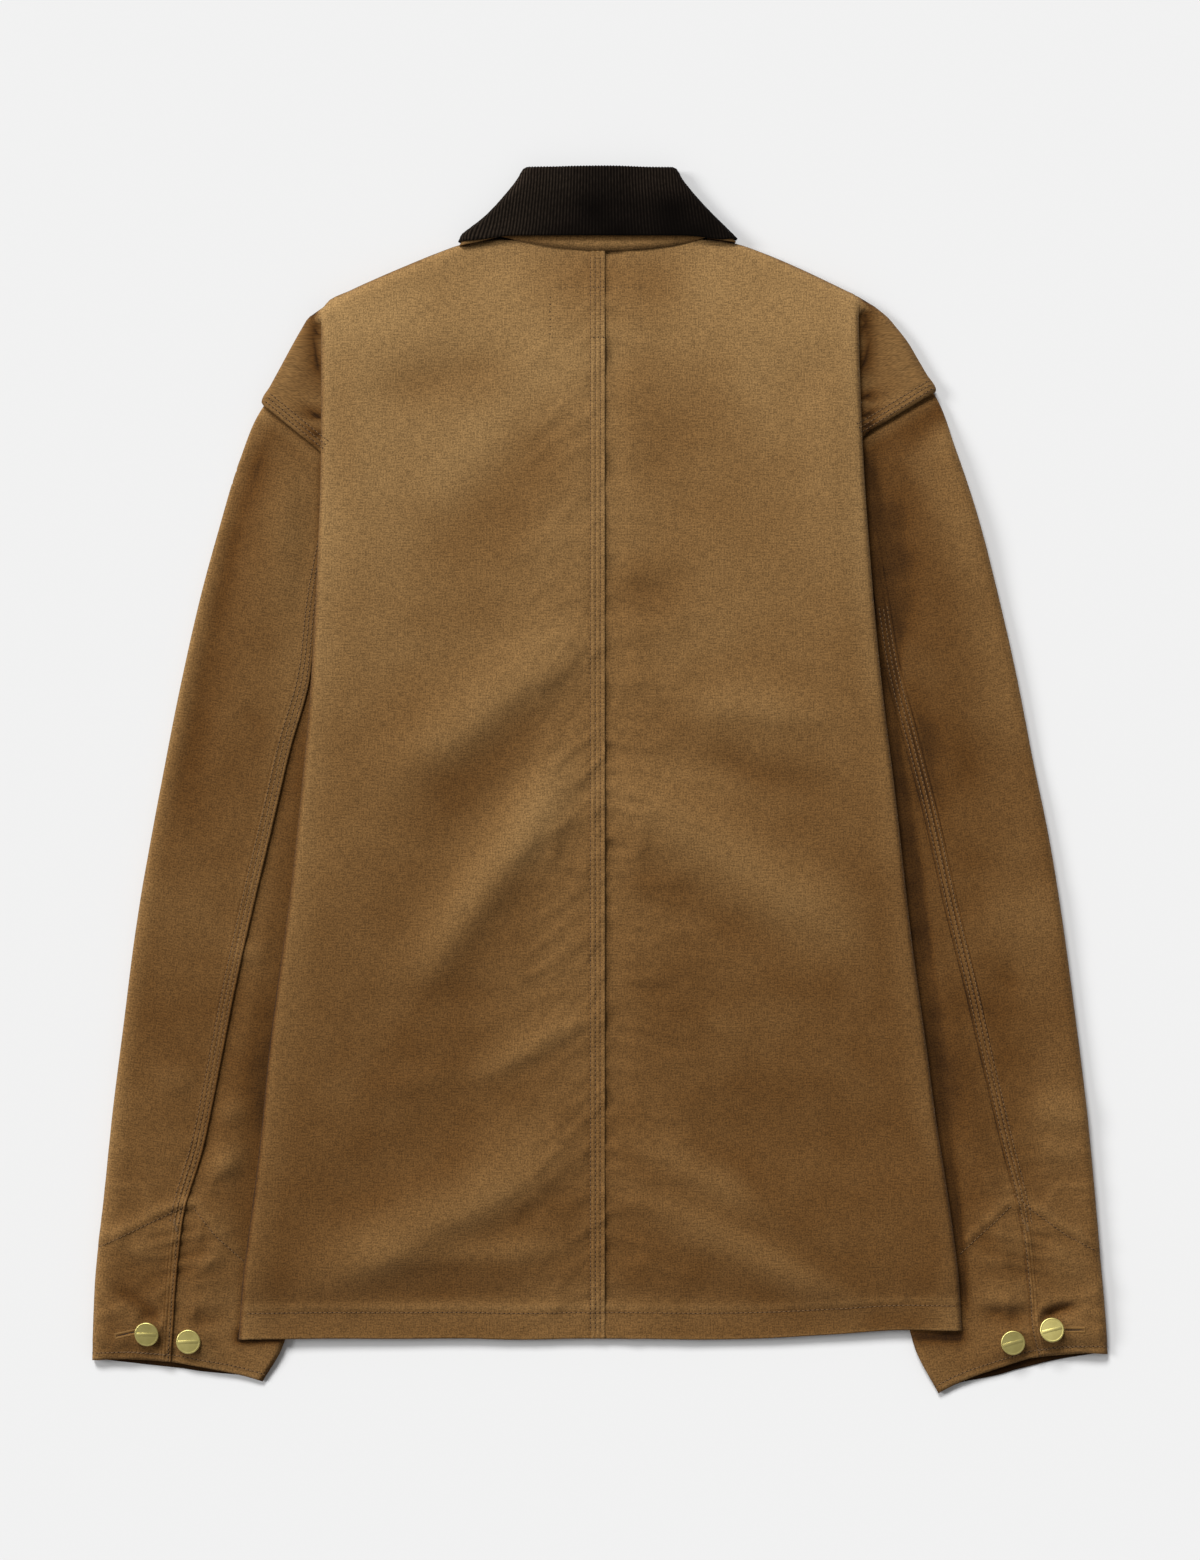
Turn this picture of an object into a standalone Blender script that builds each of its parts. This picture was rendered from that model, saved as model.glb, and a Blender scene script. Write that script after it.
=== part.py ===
"""A canvas chore jacket laid flat with its back up: body, folded sleeves, corduroy collar, cuff buttons.

Tables and sizes are in millimetres. X runs across the jacket from its centre, Y from hem to collar,
Z up from the surface it lies on. A table's x is the distance from the centre line, on either side.
"""

import math

import bmesh
import bpy
import numpy as np

MM = 0.001

# Cloth
WALL = 1.2  # thickness of every cloth wall
HALF = WALL / 2
SEAM_GAP = 0.3  # between pieces that meet edge to edge
LAP = 1.6  # height from a lower ply to the one lapped over it
FELL = 9.4  # width of a felled seam
EDGE_ROLL = 8.0  # how far in from the shoulder edge the cloth rounds over

# Body
BODY_TOP = 362.0  # top of the back panel at the centre, under the collar's strip
FRONT_NECK = 280.0  # front neck seam at the centre
FRONT_NECK_SIDE = 362.5  # and where it meets the shoulder
NECK_HALF = 78.0
HEM = -376.5
UNDERARM = 114.8
CENTRE_SEAM = 3.4  # edge of the lapped left back, right of the centre line
FRONT_FOLD_IN = 3.0  # how far the front's side fold lies inside the back's
FRONT_LAP = 20.0  # how far each front passes the centre line
CORNER_REACH = 25.0  # how far from the front's fold the rows lie level where the armhole seam crosses it
BACK_X = [22, 38, 54, 68, 78, 92, 110, 130, 150, 167]  # columns of the back at its top
FRONT_X = [35, 50, 62, 70, 76, 80, 90, 104, 124, 146, 168]  # columns of the front
EDGE_STEPS = (8.0, 3.6, 1.1, 0.0)  # columns of the back close to the armhole's edge

# Heights of the middle of each ply where they lie on each other
FRONT_Z = HALF
FRONT_RETURN_Z = 2.3
SLEEVE_LOW_Z = 3.9
SLEEVE_PRESSED_Z = 7.3
SLEEVE_FREE_Z = 9.0
BACK_LOWER_Z = 8.9
EDGE_Z = 5.0  # where back and front meet at the shoulder
EDGE_GAP = 1.1  # between the middles of their rolled edges
BACK_CENTRE_Z = 12.9  # of the back along its centre, above the arms
BACK_CENTRE_DROP = 2.6  # how much lower it lies at the hem
BACK_LEVEL_Y = 40.0  # where it starts to come down
LEAF_RISE = 3.2  # of the fronts over the collar's leaves
LEAF_X, LEAF_Y, LEAF_FADE = 98.0, 214.0, 24.0  # where those end, and how soon the front comes down

# Shoulder outline, from the neck to the tip of the shoulder: x, y
SHOULDER = {
    "left": [(78, 363.2), (84, 361.6), (94, 360.4), (102.6, 357.2), (118.8, 351), (137.7, 342.9),
             (156.6, 334.8), (173.5, 326.7), (187, 318.6), (197.1, 310.5), (206.6, 294.3),
             (215.3, 278.1), (224.1, 261.9), (228.2, 253.8)],
    "right": [(78, 363.2), (84, 361.6), (94, 360.4), (104, 357), (118.1, 351), (137.7, 342.9),
              (153.9, 334.8), (170.8, 326.7), (185, 318.6), (195.1, 310.5), (207.9, 294.3),
              (217.4, 278.1), (226.7, 261.9)],
}

# Where the armhole seam passes under the body's fold: x, y
ARMHOLE = {"left": (187.7, 220.7), "right": (176.9, 231.5)}

# The fold that the back shows at its side, and how deep its gusset is below it:
# y, fold x on the left, fold x on the right, gusset depth, fold height, height of the ply below
BODY_SECTIONS = [
    (326, 187.4, 173.8, 0.0, 16.4, 10.9),
    (313, 187.4, 174.0, 6.0, 16.6, 10.9),
    (256, 187.4, 175.4, 50.0, 16.9, 10.9),
    (202, 187.8, 177.9, 78.0, 17.2, 10.9),
    (148, 189.9, 181.8, 98.0, 17.4, 10.9),
    (94, 192.5, 186.4, 107.0, 17.2, 10.6),
    (40, 196.2, 192.3, 101.0, 17.0, 10.0),
    (-14, 201.5, 199.1, 95.0, 16.8, 9.8),
    (-68, 207.2, 205.0, 88.0, 16.6, 9.8),
    (-122, 214.4, 211.5, 81.0, 16.4, 9.8),
    (-176, 221.8, 219.1, 74.0, 16.2, 9.8),
    (-230, 227.0, 226.2, 66.0, 16.0, 9.8),
    (-284, 233.3, 234.8, 59.0, 15.8, 9.8),
    (-338, 240.5, 241.4, 50.0, 15.4, 9.6),
    (-378, 243.7, 244.2, 43.0, 14.8, 9.4),
]
FOLD_RADIUS = 2.6
PLY_RADIUS = 1.0  # of the gusset's inner fold above the underarm
NECK_DIP = 2.3  # of the back towards the neck seam
GUSSET_TURN = 3.0  # least flat stub of the back past the gusset's inner fold
STUB_REACH = 7.0  # from the inner fold to the side seam on that stub

# Rows of the body above the underarm: place of the panel's edge from shoulder (0) by tip (1) and the
# front's fold (2) to underarm (3), height of the side fold above that edge, how far the fold has formed
BODY_ROWS = [
    (0.00, 7.0, 0.00), (0.043, 8.2, 0.05), (0.12, 9.4, 0.25), (0.238, 11.0, 0.68), (0.417, 13.0, 1.0),
    (0.60, 12.0, 1.0), (0.80, 10.5, 1.0), (1.00, 8.3, 1.0), (1.14, 8.2, 1.0), (1.50, 7.4, 1.0),
    (1.80, 6.8, 1.0), (2.00, 6.4, 1.0), (2.03, 6.3, 1.0), (2.09, 6.0, 1.0), (2.28, 5.2, 1.0),
    (2.48, 4.2, 1.0), (2.68, 3.0, 1.0), (2.84, 1.8, 1.0), (2.94, 0.8, 1.0), (3.00, 0.0, 1.0),
]
LOWER_STEP = 37.0  # spacing of the rows below the underarm

# Large folds of the back: x1, y1, x2, y2, height, half width
BACK_FOLDS = [
    (-20, 84, -122, -14, 1.7, 13),
    (-17, 40, -135, -74, -1.3, 13),
    (-17, -20, -149, -189, 2.2, 14),
    (-27, -95, -176, -297, -1.7, 14),
    (-17, -176, -149, -324, 1.8, 13),
    (14, -14, 149, -135, 1.9, 14),
    (95, 27, 149, -14, -1.0, 12),
    (122, -236, 203, -284, -1.5, 14),
    (20, -263, 203, -344, 1.6, 14),
]

# Sleeve sections, from armhole to cuff: outer fold x, y, elbow seam x, y, inner fold x, y
SLEEVES = {
    "left": [
        (226.0, 252.2, 172.0, 203.0, 93.0, 112.0), (242.7, 216.0, 182.0, 160.0, 97.0, 84.0),
        (256.1, 172.0, 190.0, 117.0, 102.5, 48.0), (269.5, 122.0, 195.1, 69.5, 110.5, 8.0),
        (281.7, 68.0, 208.5, 20.0, 120.0, -36.0), (292.8, 12.0, 221.0, -34.0, 131.5, -82.0),
        (303.5, -46.0, 233.7, -88.0, 144.0, -130.0), (313.1, -104.0, 245.6, -142.0, 157.5, -178.0),
        (320.5, -162.0, 255.7, -194.0, 171.5, -226.0), (327.8, -220.0, 266.4, -246.0, 184.5, -274.0),
        (333.7, -277.0, 280.5, -296.0, 197.0, -318.0), (339.8, -335.0, 285.5, -344.0, 207.5, -360.0),
        (341.2, -364.0, 287.2, -370.0, 214.0, -382.0), (342.2, -390.8, 288.9, -391.5, 227.5, -405.3),
    ],
    "right": [
        (224.6, 260.2, 168.0, 212.0, 89.0, 110.0), (239.6, 222.0, 178.0, 166.0, 92.5, 82.0),
        (254.4, 177.0, 185.0, 120.0, 98.5, 46.0), (267.7, 126.0, 192.2, 74.0, 108.0, 6.0),
        (280.0, 72.0, 205.0, 24.0, 118.5, -38.0), (291.0, 16.0, 219.0, -30.0, 130.0, -84.0),
        (302.8, -42.0, 231.2, -85.0, 142.5, -132.0), (312.0, -100.0, 244.6, -139.0, 156.0, -180.0),
        (319.8, -158.0, 256.6, -191.0, 171.0, -228.0), (327.0, -216.0, 268.9, -243.0, 187.0, -276.0),
        (332.7, -274.0, 281.8, -296.0, 199.0, -320.0), (337.6, -331.0, 287.3, -343.0, 206.0, -360.0),
        (340.2, -361.0, 289.0, -368.0, 211.5, -382.0), (342.0, -386.8, 294.5, -388.1, 227.7, -413.5),
    ],
}
UNDERARM_SET_OFF = 1.6  # of the sleeve from the body's edge, under the arm
ARMHOLE_TUCK = 9.0  # of the sleeve under the body's felled edge
TIP_Z = 5.2  # height of the sleeve's upper ply at the tip of the shoulder
TIP_SLOPE = 0.12  # and its rise away from there
TIP_DROP = 0.4  # how much lower its lower ply lies there
TIP_NOSE = 1.4  # in-plane half width of its folded edge there
SLEEVE_NOSE = 5.0  # in-plane half width of a sleeve's folded edge
HIDDEN_SEAM = 0.84  # place of the sleeve's front seam, from outer to inner fold
VENT_TOP = -300.0  # height at which the cuff's vent starts
VENT_LAP = 24.0  # how much further the under sleeve passes the seam there

# Rings of the two collars, one inside the other, from the fall's edge over the roll line to the neck seam:
# centre back y, side x, side y, reach of the side fold, leaf end x, leaf end y, height behind, in front
UPPER_RINGS = [
    (363.2, 93.6, 362.6, 5.0, 60.0, 224.0, 18.2, 0.6), (373.0, 83.6, 372.5, 5.0, 47.0, 246.0, 18.6, 0.6),
    (390.0, 67.6, 389.0, 6.0, 30.0, 274.0, 18.6, 0.6), (403.5, 56.2, 402.8, 8.0, 14.0, 299.0, 18.6, 0.6),
    (411.9, 49.6, 411.7, 6.4, 9.0, 308.0, 17.7, 1.5), (412.8, 46.8, 410.8, 5.0, 7.6, 308.9, 15.6, 3.8),
    (411.9, 45.7, 408.1, 2.9, 7.0, 308.0, 13.5, 6.1), (403.5, 48.5, 403.2, 3.0, 7.0, 300.0, 12.6, 7.0),
    (386.0, 61.5, 386.0, 3.2, 6.6, 293.0, 12.6, 7.0), (363.6, 76.0, 365.4, 3.2, 6.0, 284.5, 12.6, 7.0),
]
UNDER_RINGS = [
    (363.9, 91.6, 362.4, 3.0, 60.0, 224.6, 16.7, 2.1), (373.0, 81.5, 372.3, 2.9, 47.0, 246.3, 17.1, 2.1),
    (390.0, 65.4, 388.6, 3.8, 30.0, 274.0, 17.1, 2.1), (403.0, 54.6, 401.7, 6.4, 15.0, 297.0, 17.1, 2.1),
    (409.8, 50.6, 407.4, 6.1, 10.5, 305.0, 16.4, 2.8), (411.0, 48.9, 408.6, 4.6, 9.0, 306.6, 15.6, 3.9),
    (409.8, 48.6, 406.4, 4.0, 8.0, 305.0, 14.8, 5.0), (403.0, 50.6, 403.2, 4.3, 7.6, 298.0, 14.1, 5.5),
    (386.0, 63.4, 386.4, 4.6, 7.0, 291.0, 14.1, 5.5), (363.9, 77.8, 366.0, 4.6, 6.4, 285.5, 14.1, 5.5),
]
STRIP_EDGE = 354.0  # lower edge of the under collar's strip at the centre back
STRIP_RISE = 12.0  # how much higher that edge is at its ends
STRIP_HALF = 72.0
STRIP_DROP = 1.6  # from the collar's stand down to the back panel
STRIP_MARGIN = 0.5  # how far the under collar passes the upper collar round the rest of the neck

# Cuff buttons
BUTTON_DIAMETER = 17.0
BUTTON_THICKNESS = 2.2
BUTTON_RIM = 0.5
SHANK_DIAMETER = 4.0
SHANK_LENGTH = 1.6
BUTTONS = {
    "button_left_fastened": ("left", 304.2, -371.7),
    "button_left_spare": ("left", 276.5, -377.3),
    "button_right_spare": ("right", 277.4, -377.9),
    "button_right_fastened": ("right", 303.3, -369.4),
}

# Colours, in linear RGB
CANVAS_BROWN = (0.235, 0.125, 0.040)
CORDUROY_BROWN = (0.030, 0.016, 0.010)
BRASS = (0.72, 0.52, 0.22)


def smoothstep(low, high, value):
    t = np.clip((value - low) / (high - low), 0.0, 1.0)
    return t * t * (3 - 2 * t)


def through(at, places, values):
    """A smooth curve through values given at places, which may run either way."""
    order = np.argsort(places)
    xs = np.asarray(places, float)[order]
    ys = np.asarray(values, float)[order]
    slopes = np.gradient(ys, xs)
    i = np.clip(np.searchsorted(xs, at) - 1, 0, len(xs) - 2)
    width = xs[i + 1] - xs[i]
    t = np.clip((at - xs[i]) / width, 0.0, 1.0)
    rise = ys[i] * (1 + 2 * t) * (1 - t) ** 2 + ys[i + 1] * t * t * (3 - 2 * t)
    return rise + width * t * (1 - t) * (slopes[i] * (1 - t) - slopes[i + 1] * t)


def body_curve(column, y):
    return through(y, [row[0] for row in BODY_SECTIONS], [row[column] for row in BODY_SECTIONS])


def fold_x(side, y):
    return body_curve(1 if side == "left" else 2, y) - HALF


def shoulder_y(side, x):
    xs, ys = zip(*SHOULDER[side])
    return np.interp(x, xs, ys)


def shoulder_x(side, y):
    xs, ys = zip(*SHOULDER[side])
    return np.interp(y, ys[::-1], xs[::-1])


def shoulder_distance(side, x, y):
    """Distance in plan from a point to the shoulder outline."""
    nearest = 1e9
    for (ax, ay), (bx, by) in zip(SHOULDER[side], SHOULDER[side][1:]):
        run, rise = bx - ax, by - ay
        along = np.clip(((x - ax) * run + (y - ay) * rise) / (run**2 + rise**2), 0, 1)
        nearest = np.minimum(nearest, np.hypot(x - ax - along * run, y - ay - along * rise))
    return nearest


def edge_round(distance, radius):
    """0 at a rounded edge, 1 a radius in from it, as a quarter circle."""
    return np.sqrt(np.clip(1 - (1 - np.minimum(distance / radius, 1)) ** 2, 0, 1))


def back_folds(x, y):
    """Height of the back's large folds at a point in plan."""
    total = 0.0
    for ax, ay, bx, by, height, width in BACK_FOLDS:
        length = math.hypot(bx - ax, by - ay)
        along = ((x - ax) * (bx - ax) + (y - ay) * (by - ay)) / length**2
        across = ((x - ax) * (by - ay) - (y - ay) * (bx - ax)) / length
        ends = smoothstep(-0.2, 0.25, along) * smoothstep(-0.2, 0.25, 1 - along)
        total = total + height * ends * np.exp(-0.5 * (across / width) ** 2)
    return total


def back_height(side, x, y):
    """Middle of the back's top ply."""
    centre = BACK_CENTRE_Z - BACK_CENTRE_DROP * smoothstep(BACK_LEVEL_Y, HEM, y)
    rise = body_curve(4, y) - centre
    across = np.clip(np.abs(x) / fold_x(side, y), 0, 1)
    signed = -x if side == "left" else x
    fade = 1 - smoothstep(0.8, 0.97, across)
    neck = smoothstep(322, 354, y) * (1 - smoothstep(0.38, 0.6, across))
    return centre + rise * across**2 + back_folds(signed, y) * fade - NECK_DIP * neck


def armhole_line(side, y):
    """x of the armhole seam at a height y."""
    tip, fold = SHOULDER[side][-1], ARMHOLE[side]
    end = (fold_x(side, UNDERARM) - body_curve(3, UNDERARM) + STUB_REACH, UNDERARM)
    return np.interp(y, [end[1], fold[1], tip[1]], [end[0], fold[0], tip[0]])


def beyond_body(side, x, y):
    """Distance in plan by which a point lies outside the body, below 0 inside it."""
    tip, fold = SHOULDER[side][-1], ARMHOLE[side]
    length = math.hypot(tip[0] - fold[0], tip[1] - fold[1])
    below = ((x - fold[0]) * (tip[1] - fold[1]) - (y - fold[1]) * (tip[0] - fold[0])) / length
    return np.maximum(np.minimum(x - fold_x(side, y), below), HEM - y)


def sleeve_heights(side, x, y):
    """Middles of the sleeve's upper and lower plies."""
    pressed = 1 - smoothstep(2, 24, beyond_body(side, x, y))
    upper = SLEEVE_FREE_Z + (SLEEVE_PRESSED_Z - SLEEVE_FREE_Z) * pressed
    return upper, HALF + (SLEEVE_LOW_Z - HALF) * pressed


def neck_edge(x):
    return BODY_TOP + 1.5 * (x / 75) ** 2


def front_corner(side):
    """y at which the armhole seam crosses the front's fold."""
    ys = np.linspace(ARMHOLE[side][1], UNDERARM, 200)
    return float(ys[np.argmax(armhole_line(side, ys) < fold_x(side, ys) - FRONT_FOLD_IN)])


def row_places(side):
    """For each row of the body: y at the fold, y at the panel's edge, how far the fold has formed."""
    start = float(shoulder_y(side, fold_x(side, 318)))
    anchors = [start - BODY_ROWS[0][1], SHOULDER[side][-1][1], front_corner(side), UNDERARM]
    rows = []
    for place, above, formed in BODY_ROWS:
        edge_y = float(np.interp(place, [0, 1, 2, 3], anchors))
        rows.append((edge_y + above, edge_y, formed))
    count = round((UNDERARM - HEM) / LOWER_STEP)
    for i in range(1, count + 1):
        y = UNDERARM + (HEM - UNDERARM) * i / count
        rows.append((y, y, 1.0))
    return rows


def top_spread(side, row_y, x, top_y):
    """y of a point on a row, whose lie runs from the panel's curved top to level rows below."""
    start = row_places(side)[0][0]
    level = smoothstep(0, 1, (start - row_y) / (start - UNDERARM))
    return row_y + (top_y(x) - start) * (1 - level)


def arc(centre_x, centre_z, radius, first, last, steps):
    angles = np.radians(np.linspace(first, last, steps + 1))
    return [(centre_x + radius * math.cos(a), centre_z + radius * math.sin(a)) for a in angles]


def back_grid(side):
    """Middle surface of one back panel: centre seam, top, side fold, gusset, panel edge."""
    start = row_places(side)[0][0]
    first_fold = float(fold_x(side, start))
    shoulder_top = lambda x: np.where(x < NECK_HALF, neck_edge(x), shoulder_y(side, x))
    grid = []
    for y, edge_y, formed in row_places(side):
        fold = float(fold_x(side, y))
        inner = fold - float(body_curve(3, y))
        top_z, return_z = float(body_curve(4, y)), float(body_curve(5, y))
        below_arm = float(smoothstep(UNDERARM + 26, UNDERARM - 18, y))
        turn = PLY_RADIUS + ((return_z - FRONT_RETURN_Z) / 2 - PLY_RADIUS) * below_arm
        if edge_y >= SHOULDER[side][-1][1]:
            edge = float(shoulder_x(side, edge_y)) - HALF
        elif edge_y > UNDERARM:
            edge = float(armhole_line(side, edge_y))
        else:
            edge = inner + turn + max(GUSSET_TURN, STUB_REACH - turn)
        columns = []
        seam = CENTRE_SEAM if side == "left" else CENTRE_SEAM - FELL
        seam = -seam if side == "left" else seam
        narrow = (fold - FOLD_RADIUS) / (first_fold - FOLD_RADIUS)
        xs = [seam, CENTRE_SEAM + 6] + [x * narrow for x in BACK_X] + [fold - FOLD_RADIUS]
        for x in xs:
            own = abs(x) if x < 0 else x
            py = top_spread(side, y, own, shoulder_top)
            columns.append([x, float(py), None])
        # the side fold, the ply under it, the gusset's inner fold, and the ply that shows beyond
        flat = np.linspace(fold - FOLD_RADIUS, edge, 18)[1:]
        folded = arc(fold - FOLD_RADIUS, top_z - FOLD_RADIUS, FOLD_RADIUS, 50, -90, 3)
        low_z = top_z - 2 * FOLD_RADIUS
        ply = inner + turn - fold + FOLD_RADIUS
        for t in (1 / 3, 2 / 3):
            folded.append((fold - FOLD_RADIUS + ply * t, low_z + (return_z - low_z) * t))
        folded += arc(inner + turn, return_z - turn, turn, 90, 270, 4)
        outer_z = return_z - 2 * turn
        visible = edge - inner - turn
        near_edge = min(1.0, visible / 20)
        for back_off in [0.75 * visible, 0.5 * visible] + [step * near_edge for step in EDGE_STEPS]:
            folded.append((edge - back_off, outer_z))
        for i, (x, z) in enumerate(folded):
            t = i / (len(folded) - 1)
            x = flat[i] + (x - flat[i]) * formed
            z = top_z + (BACK_LOWER_Z - top_z) * t + (z - top_z - (BACK_LOWER_Z - top_z) * t) * formed
            reach = max(0.0, (x - inner) / max(edge - inner, 1)) if i > 10 or formed < 1 else 0.0
            columns.append([x, y + (edge_y - y) * min(reach, 1.0), z])
        grid.append(columns)
    for columns in grid:
        for point in columns:
            x, y, z = point
            if z is None:
                z = float(back_height(side, x, y))
                if side == "right":
                    z -= LAP * float(1 - smoothstep(CENTRE_SEAM + 6, CENTRE_SEAM + 18, x))
            if y > SHOULDER[side][-1][1] - 4:
                from_edge = shoulder_distance(side, max(abs(x), NECK_HALF - 6), y)
                round_off = float(edge_round(from_edge, EDGE_ROLL))
                z = EDGE_Z + EDGE_GAP / 2 + (z - EDGE_Z - EDGE_GAP / 2) * round_off
            point[2] = z
    return np.array(grid)


def front_grid(side):
    """Middle surface of one front panel: centre, sheet on the floor, side fold, ply turned in."""
    start = row_places(side)[0][0]
    radius = (FRONT_RETURN_Z - FRONT_Z) / 2
    first_fold = float(fold_x(side, start)) - FRONT_FOLD_IN

    def top_y(x):
        depth = (FRONT_NECK_SIDE - FRONT_NECK) * np.sqrt(np.clip(1 - (x / NECK_HALF) ** 2, 0, 1))
        return np.where(x < NECK_HALF, FRONT_NECK_SIDE - depth, shoulder_y(side, x))

    grid = []
    for y, edge_y, _ in row_places(side):
        fold = float(fold_x(side, y)) - FRONT_FOLD_IN
        inner = float(fold_x(side, y)) - float(body_curve(3, y))
        narrow = (fold - radius) / (first_fold - radius)
        if edge_y >= SHOULDER[side][-1][1]:
            edge = float(shoulder_x(side, edge_y)) - HALF
        elif edge_y > UNDERARM:
            edge = float(armhole_line(side, edge_y))
            y = edge_y + (y - edge_y) * min(abs(edge - fold) / CORNER_REACH, 1.0)
        else:
            turn = (float(body_curve(5, y)) - FRONT_RETURN_Z) / 2
            edge = inner + turn + max(GUSSET_TURN, STUB_REACH - turn) + SEAM_GAP
        xs = [-FRONT_LAP, 0.0, FRONT_LAP] + [x * narrow for x in FRONT_X] + [fold - radius]
        columns = [[x, float(top_spread(side, y, abs(x), top_y)), FRONT_Z] for x in xs]
        if edge > fold + 1.5:
            strip = [(x, FRONT_Z) for x in np.linspace(fold - radius, edge, 8)[1:]]
        elif edge > fold - 0.8:
            strip = [(fold - radius * (1 - t), FRONT_Z + radius * t * t) for t in (0.5, 1.0)]
            strip += [(fold, FRONT_Z + radius * (1 + t)) for t in (0.3, 0.5, 0.7, 0.85, 1.0)]
        else:
            strip = arc(fold - radius, FRONT_Z + radius, radius, -54, 90, 3)
            for t in (0.4, 0.75, 1.0):
                strip.append((fold - radius + (edge - fold + radius) * t, FRONT_RETURN_Z))
        run = np.cumsum([math.dist(a, b) for a, b in zip([(fold - radius, FRONT_Z)] + strip, strip)])
        for (x, z), length in zip(strip, run):
            columns.append([x, y + (edge_y - y) * float(length / run[-1]), z])
        grid.append(columns)
    for columns in grid:
        for point in columns:
            x, y, z = point
            z += LEAF_RISE * float(1 - smoothstep(0, LEAF_FADE, np.maximum(abs(x) - LEAF_X, LEAF_Y - y)))
            if side == "right":
                z += LAP * float(1 - smoothstep(FRONT_LAP + 3, FRONT_LAP + 18, x))
            if y > SHOULDER[side][-1][1] - 4:
                from_edge = shoulder_distance(side, max(abs(x), NECK_HALF - 6), y)
                round_off = float(edge_round(from_edge, EDGE_ROLL))
                z = EDGE_Z - EDGE_GAP / 2 + (z - EDGE_Z + EDGE_GAP / 2) * round_off
            point[2] = z
    return np.array(grid)


def section_point(section, place):
    """A point in plan on a sleeve section, through its outer fold (0), elbow seam and inner fold (1)."""
    outer, seam, inner = np.array(section[0:2]), np.array(section[2:4]), np.array(section[4:6])
    at = seam_place(section)
    first = (place - at) * (place - 1) / at
    middle = place * (place - 1) / (at * (at - 1))
    last = place * (place - at) / (1 - at)
    return outer * first + seam * middle + inner * last


def seam_place(section):
    outer, seam, inner = np.array(section[0:2]), np.array(section[2:4]), np.array(section[4:6])
    near, far = np.linalg.norm(seam - outer), np.linalg.norm(inner - seam)
    return float(near / (near + far))


def body_crossing(side, section):
    """Place on a sleeve section where it passes under the body."""
    places = np.linspace(0.1, 0.78, 69)
    outside = [p for p in places if beyond_body(side, *section_point(section, p)) > 0]
    return float(outside[-1]) if outside else 0.1


def sleeve_grid(side, piece):
    """Middle surface of a top sleeve or an under sleeve, each half of the tube folded flat."""
    sections = SLEEVES[side]
    grid = []
    for number in range(-1, len(sections)):
        section = sections[max(number, 0)]
        length = math.hypot(section[4] - section[0], section[5] - section[1])
        at = seam_place(section)
        reach = SLEEVE_NOSE if number > 0 else TIP_NOSE
        nose = reach / length
        bend = [nose * (1 - math.cos(a)) for a in np.radians([90, 60, 30, 0, 30, 60, 90])]
        if piece == "top":
            upper = list(np.linspace(at, nose, 7)[:-1])
            cross = body_crossing(side, section)
            end = HIDDEN_SEAM - SEAM_GAP / 2 / length
            lower = [max(cross - 30 / length, nose * 1.5), max(cross - 16 / length, nose * 2.2),
                     max(cross - 3 / length, nose * 3), (max(cross, nose * 3) + end) / 2, end]
            path = [(p, 1) for p in upper] + [(p, 1) for p in bend[:4]]
            path += [(p, -1) for p in bend[4:]] + [(p, -1) for p in lower]
        else:
            tuck = FELL + VENT_LAP * float(smoothstep(VENT_TOP + 20, VENT_TOP, section[3]))
            upper = [at - tuck / length, at + 4 / length, at + 14 / length]
            upper += list(np.linspace(at + 14 / length, 1 - nose, 4)[1:-1])
            lower = list(np.linspace(1 - nose, HIDDEN_SEAM + SEAM_GAP / 2 / length, 4)[1:])
            path = [(p, 1) for p in upper] + [(1 - p, 1) for p in bend[:4]]
            path += [(1 - p, -1) for p in bend[4:]] + [(p, -1) for p in lower]
        columns = []
        for place, face in path:
            x, y = section_point(section, place)
            if number < 0:
                tuck_in = max(ARMHOLE_TUCK * (1 - (place / 0.72) ** 2), -0.3)
                x, y = x - 0.709 * tuck_in, y + 0.705 * tuck_in
            elif number == 0:
                set_off = UNDERARM_SET_OFF * float(smoothstep(0.55, 0.75, place))
                x, y = x + 0.709 * set_off, y - 0.705 * set_off
            upper_z, lower_z = (float(z) for z in sleeve_heights(side, x, y))
            if number <= 0:
                from_tip = math.dist((x, y), SHOULDER[side][-1])
                upper_z = min(upper_z, TIP_Z + TIP_SLOPE * from_tip)
                lower_z -= TIP_DROP * float(1 - smoothstep(5, 30, from_tip))
            middle = (upper_z + lower_z) / 2
            into = min(place, 1 - place) * length
            z = middle + face * (upper_z - lower_z) / 2 * float(edge_round(into, reach))
            if piece == "under" and face > 0:
                z -= LAP * float(1 - smoothstep(at + 4 / length, at + 14 / length, place))
            columns.append((x, y, z))
        grid.append(columns)
    return np.array(grid)


def collar_grid(rings):
    """Middle surface of a collar: rows are rings from the fall's edge to the neck seam."""
    grid = []
    for back_y, side_x, side_y, round_x, end_x, end_y, top_z, low_z in rings:
        half = [(x, back_y + (side_y - back_y) * (x / side_x) ** 2, top_z) for x in
                np.array([0, 0.2, 0.4, 0.6, 0.8]) * (side_x - round_x)]
        for angle in np.radians([0, 36, 72, 108, 144, 180]):
            half.append((side_x - round_x + round_x * math.sin(angle), side_y,
                         (top_z + low_z) / 2 + (top_z - low_z) / 2 * math.cos(angle)))
        for angle in np.radians([18, 36, 54, 72, 90]):
            half.append((end_x + (side_x - round_x - end_x) * math.cos(angle),
                         side_y - (side_y - end_y) * math.sin(angle), low_z))
        ring = [(-x, y, z) for x, y, z in half[:0:-1]] + half
        grid.append(ring)
    return np.array(grid)


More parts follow.
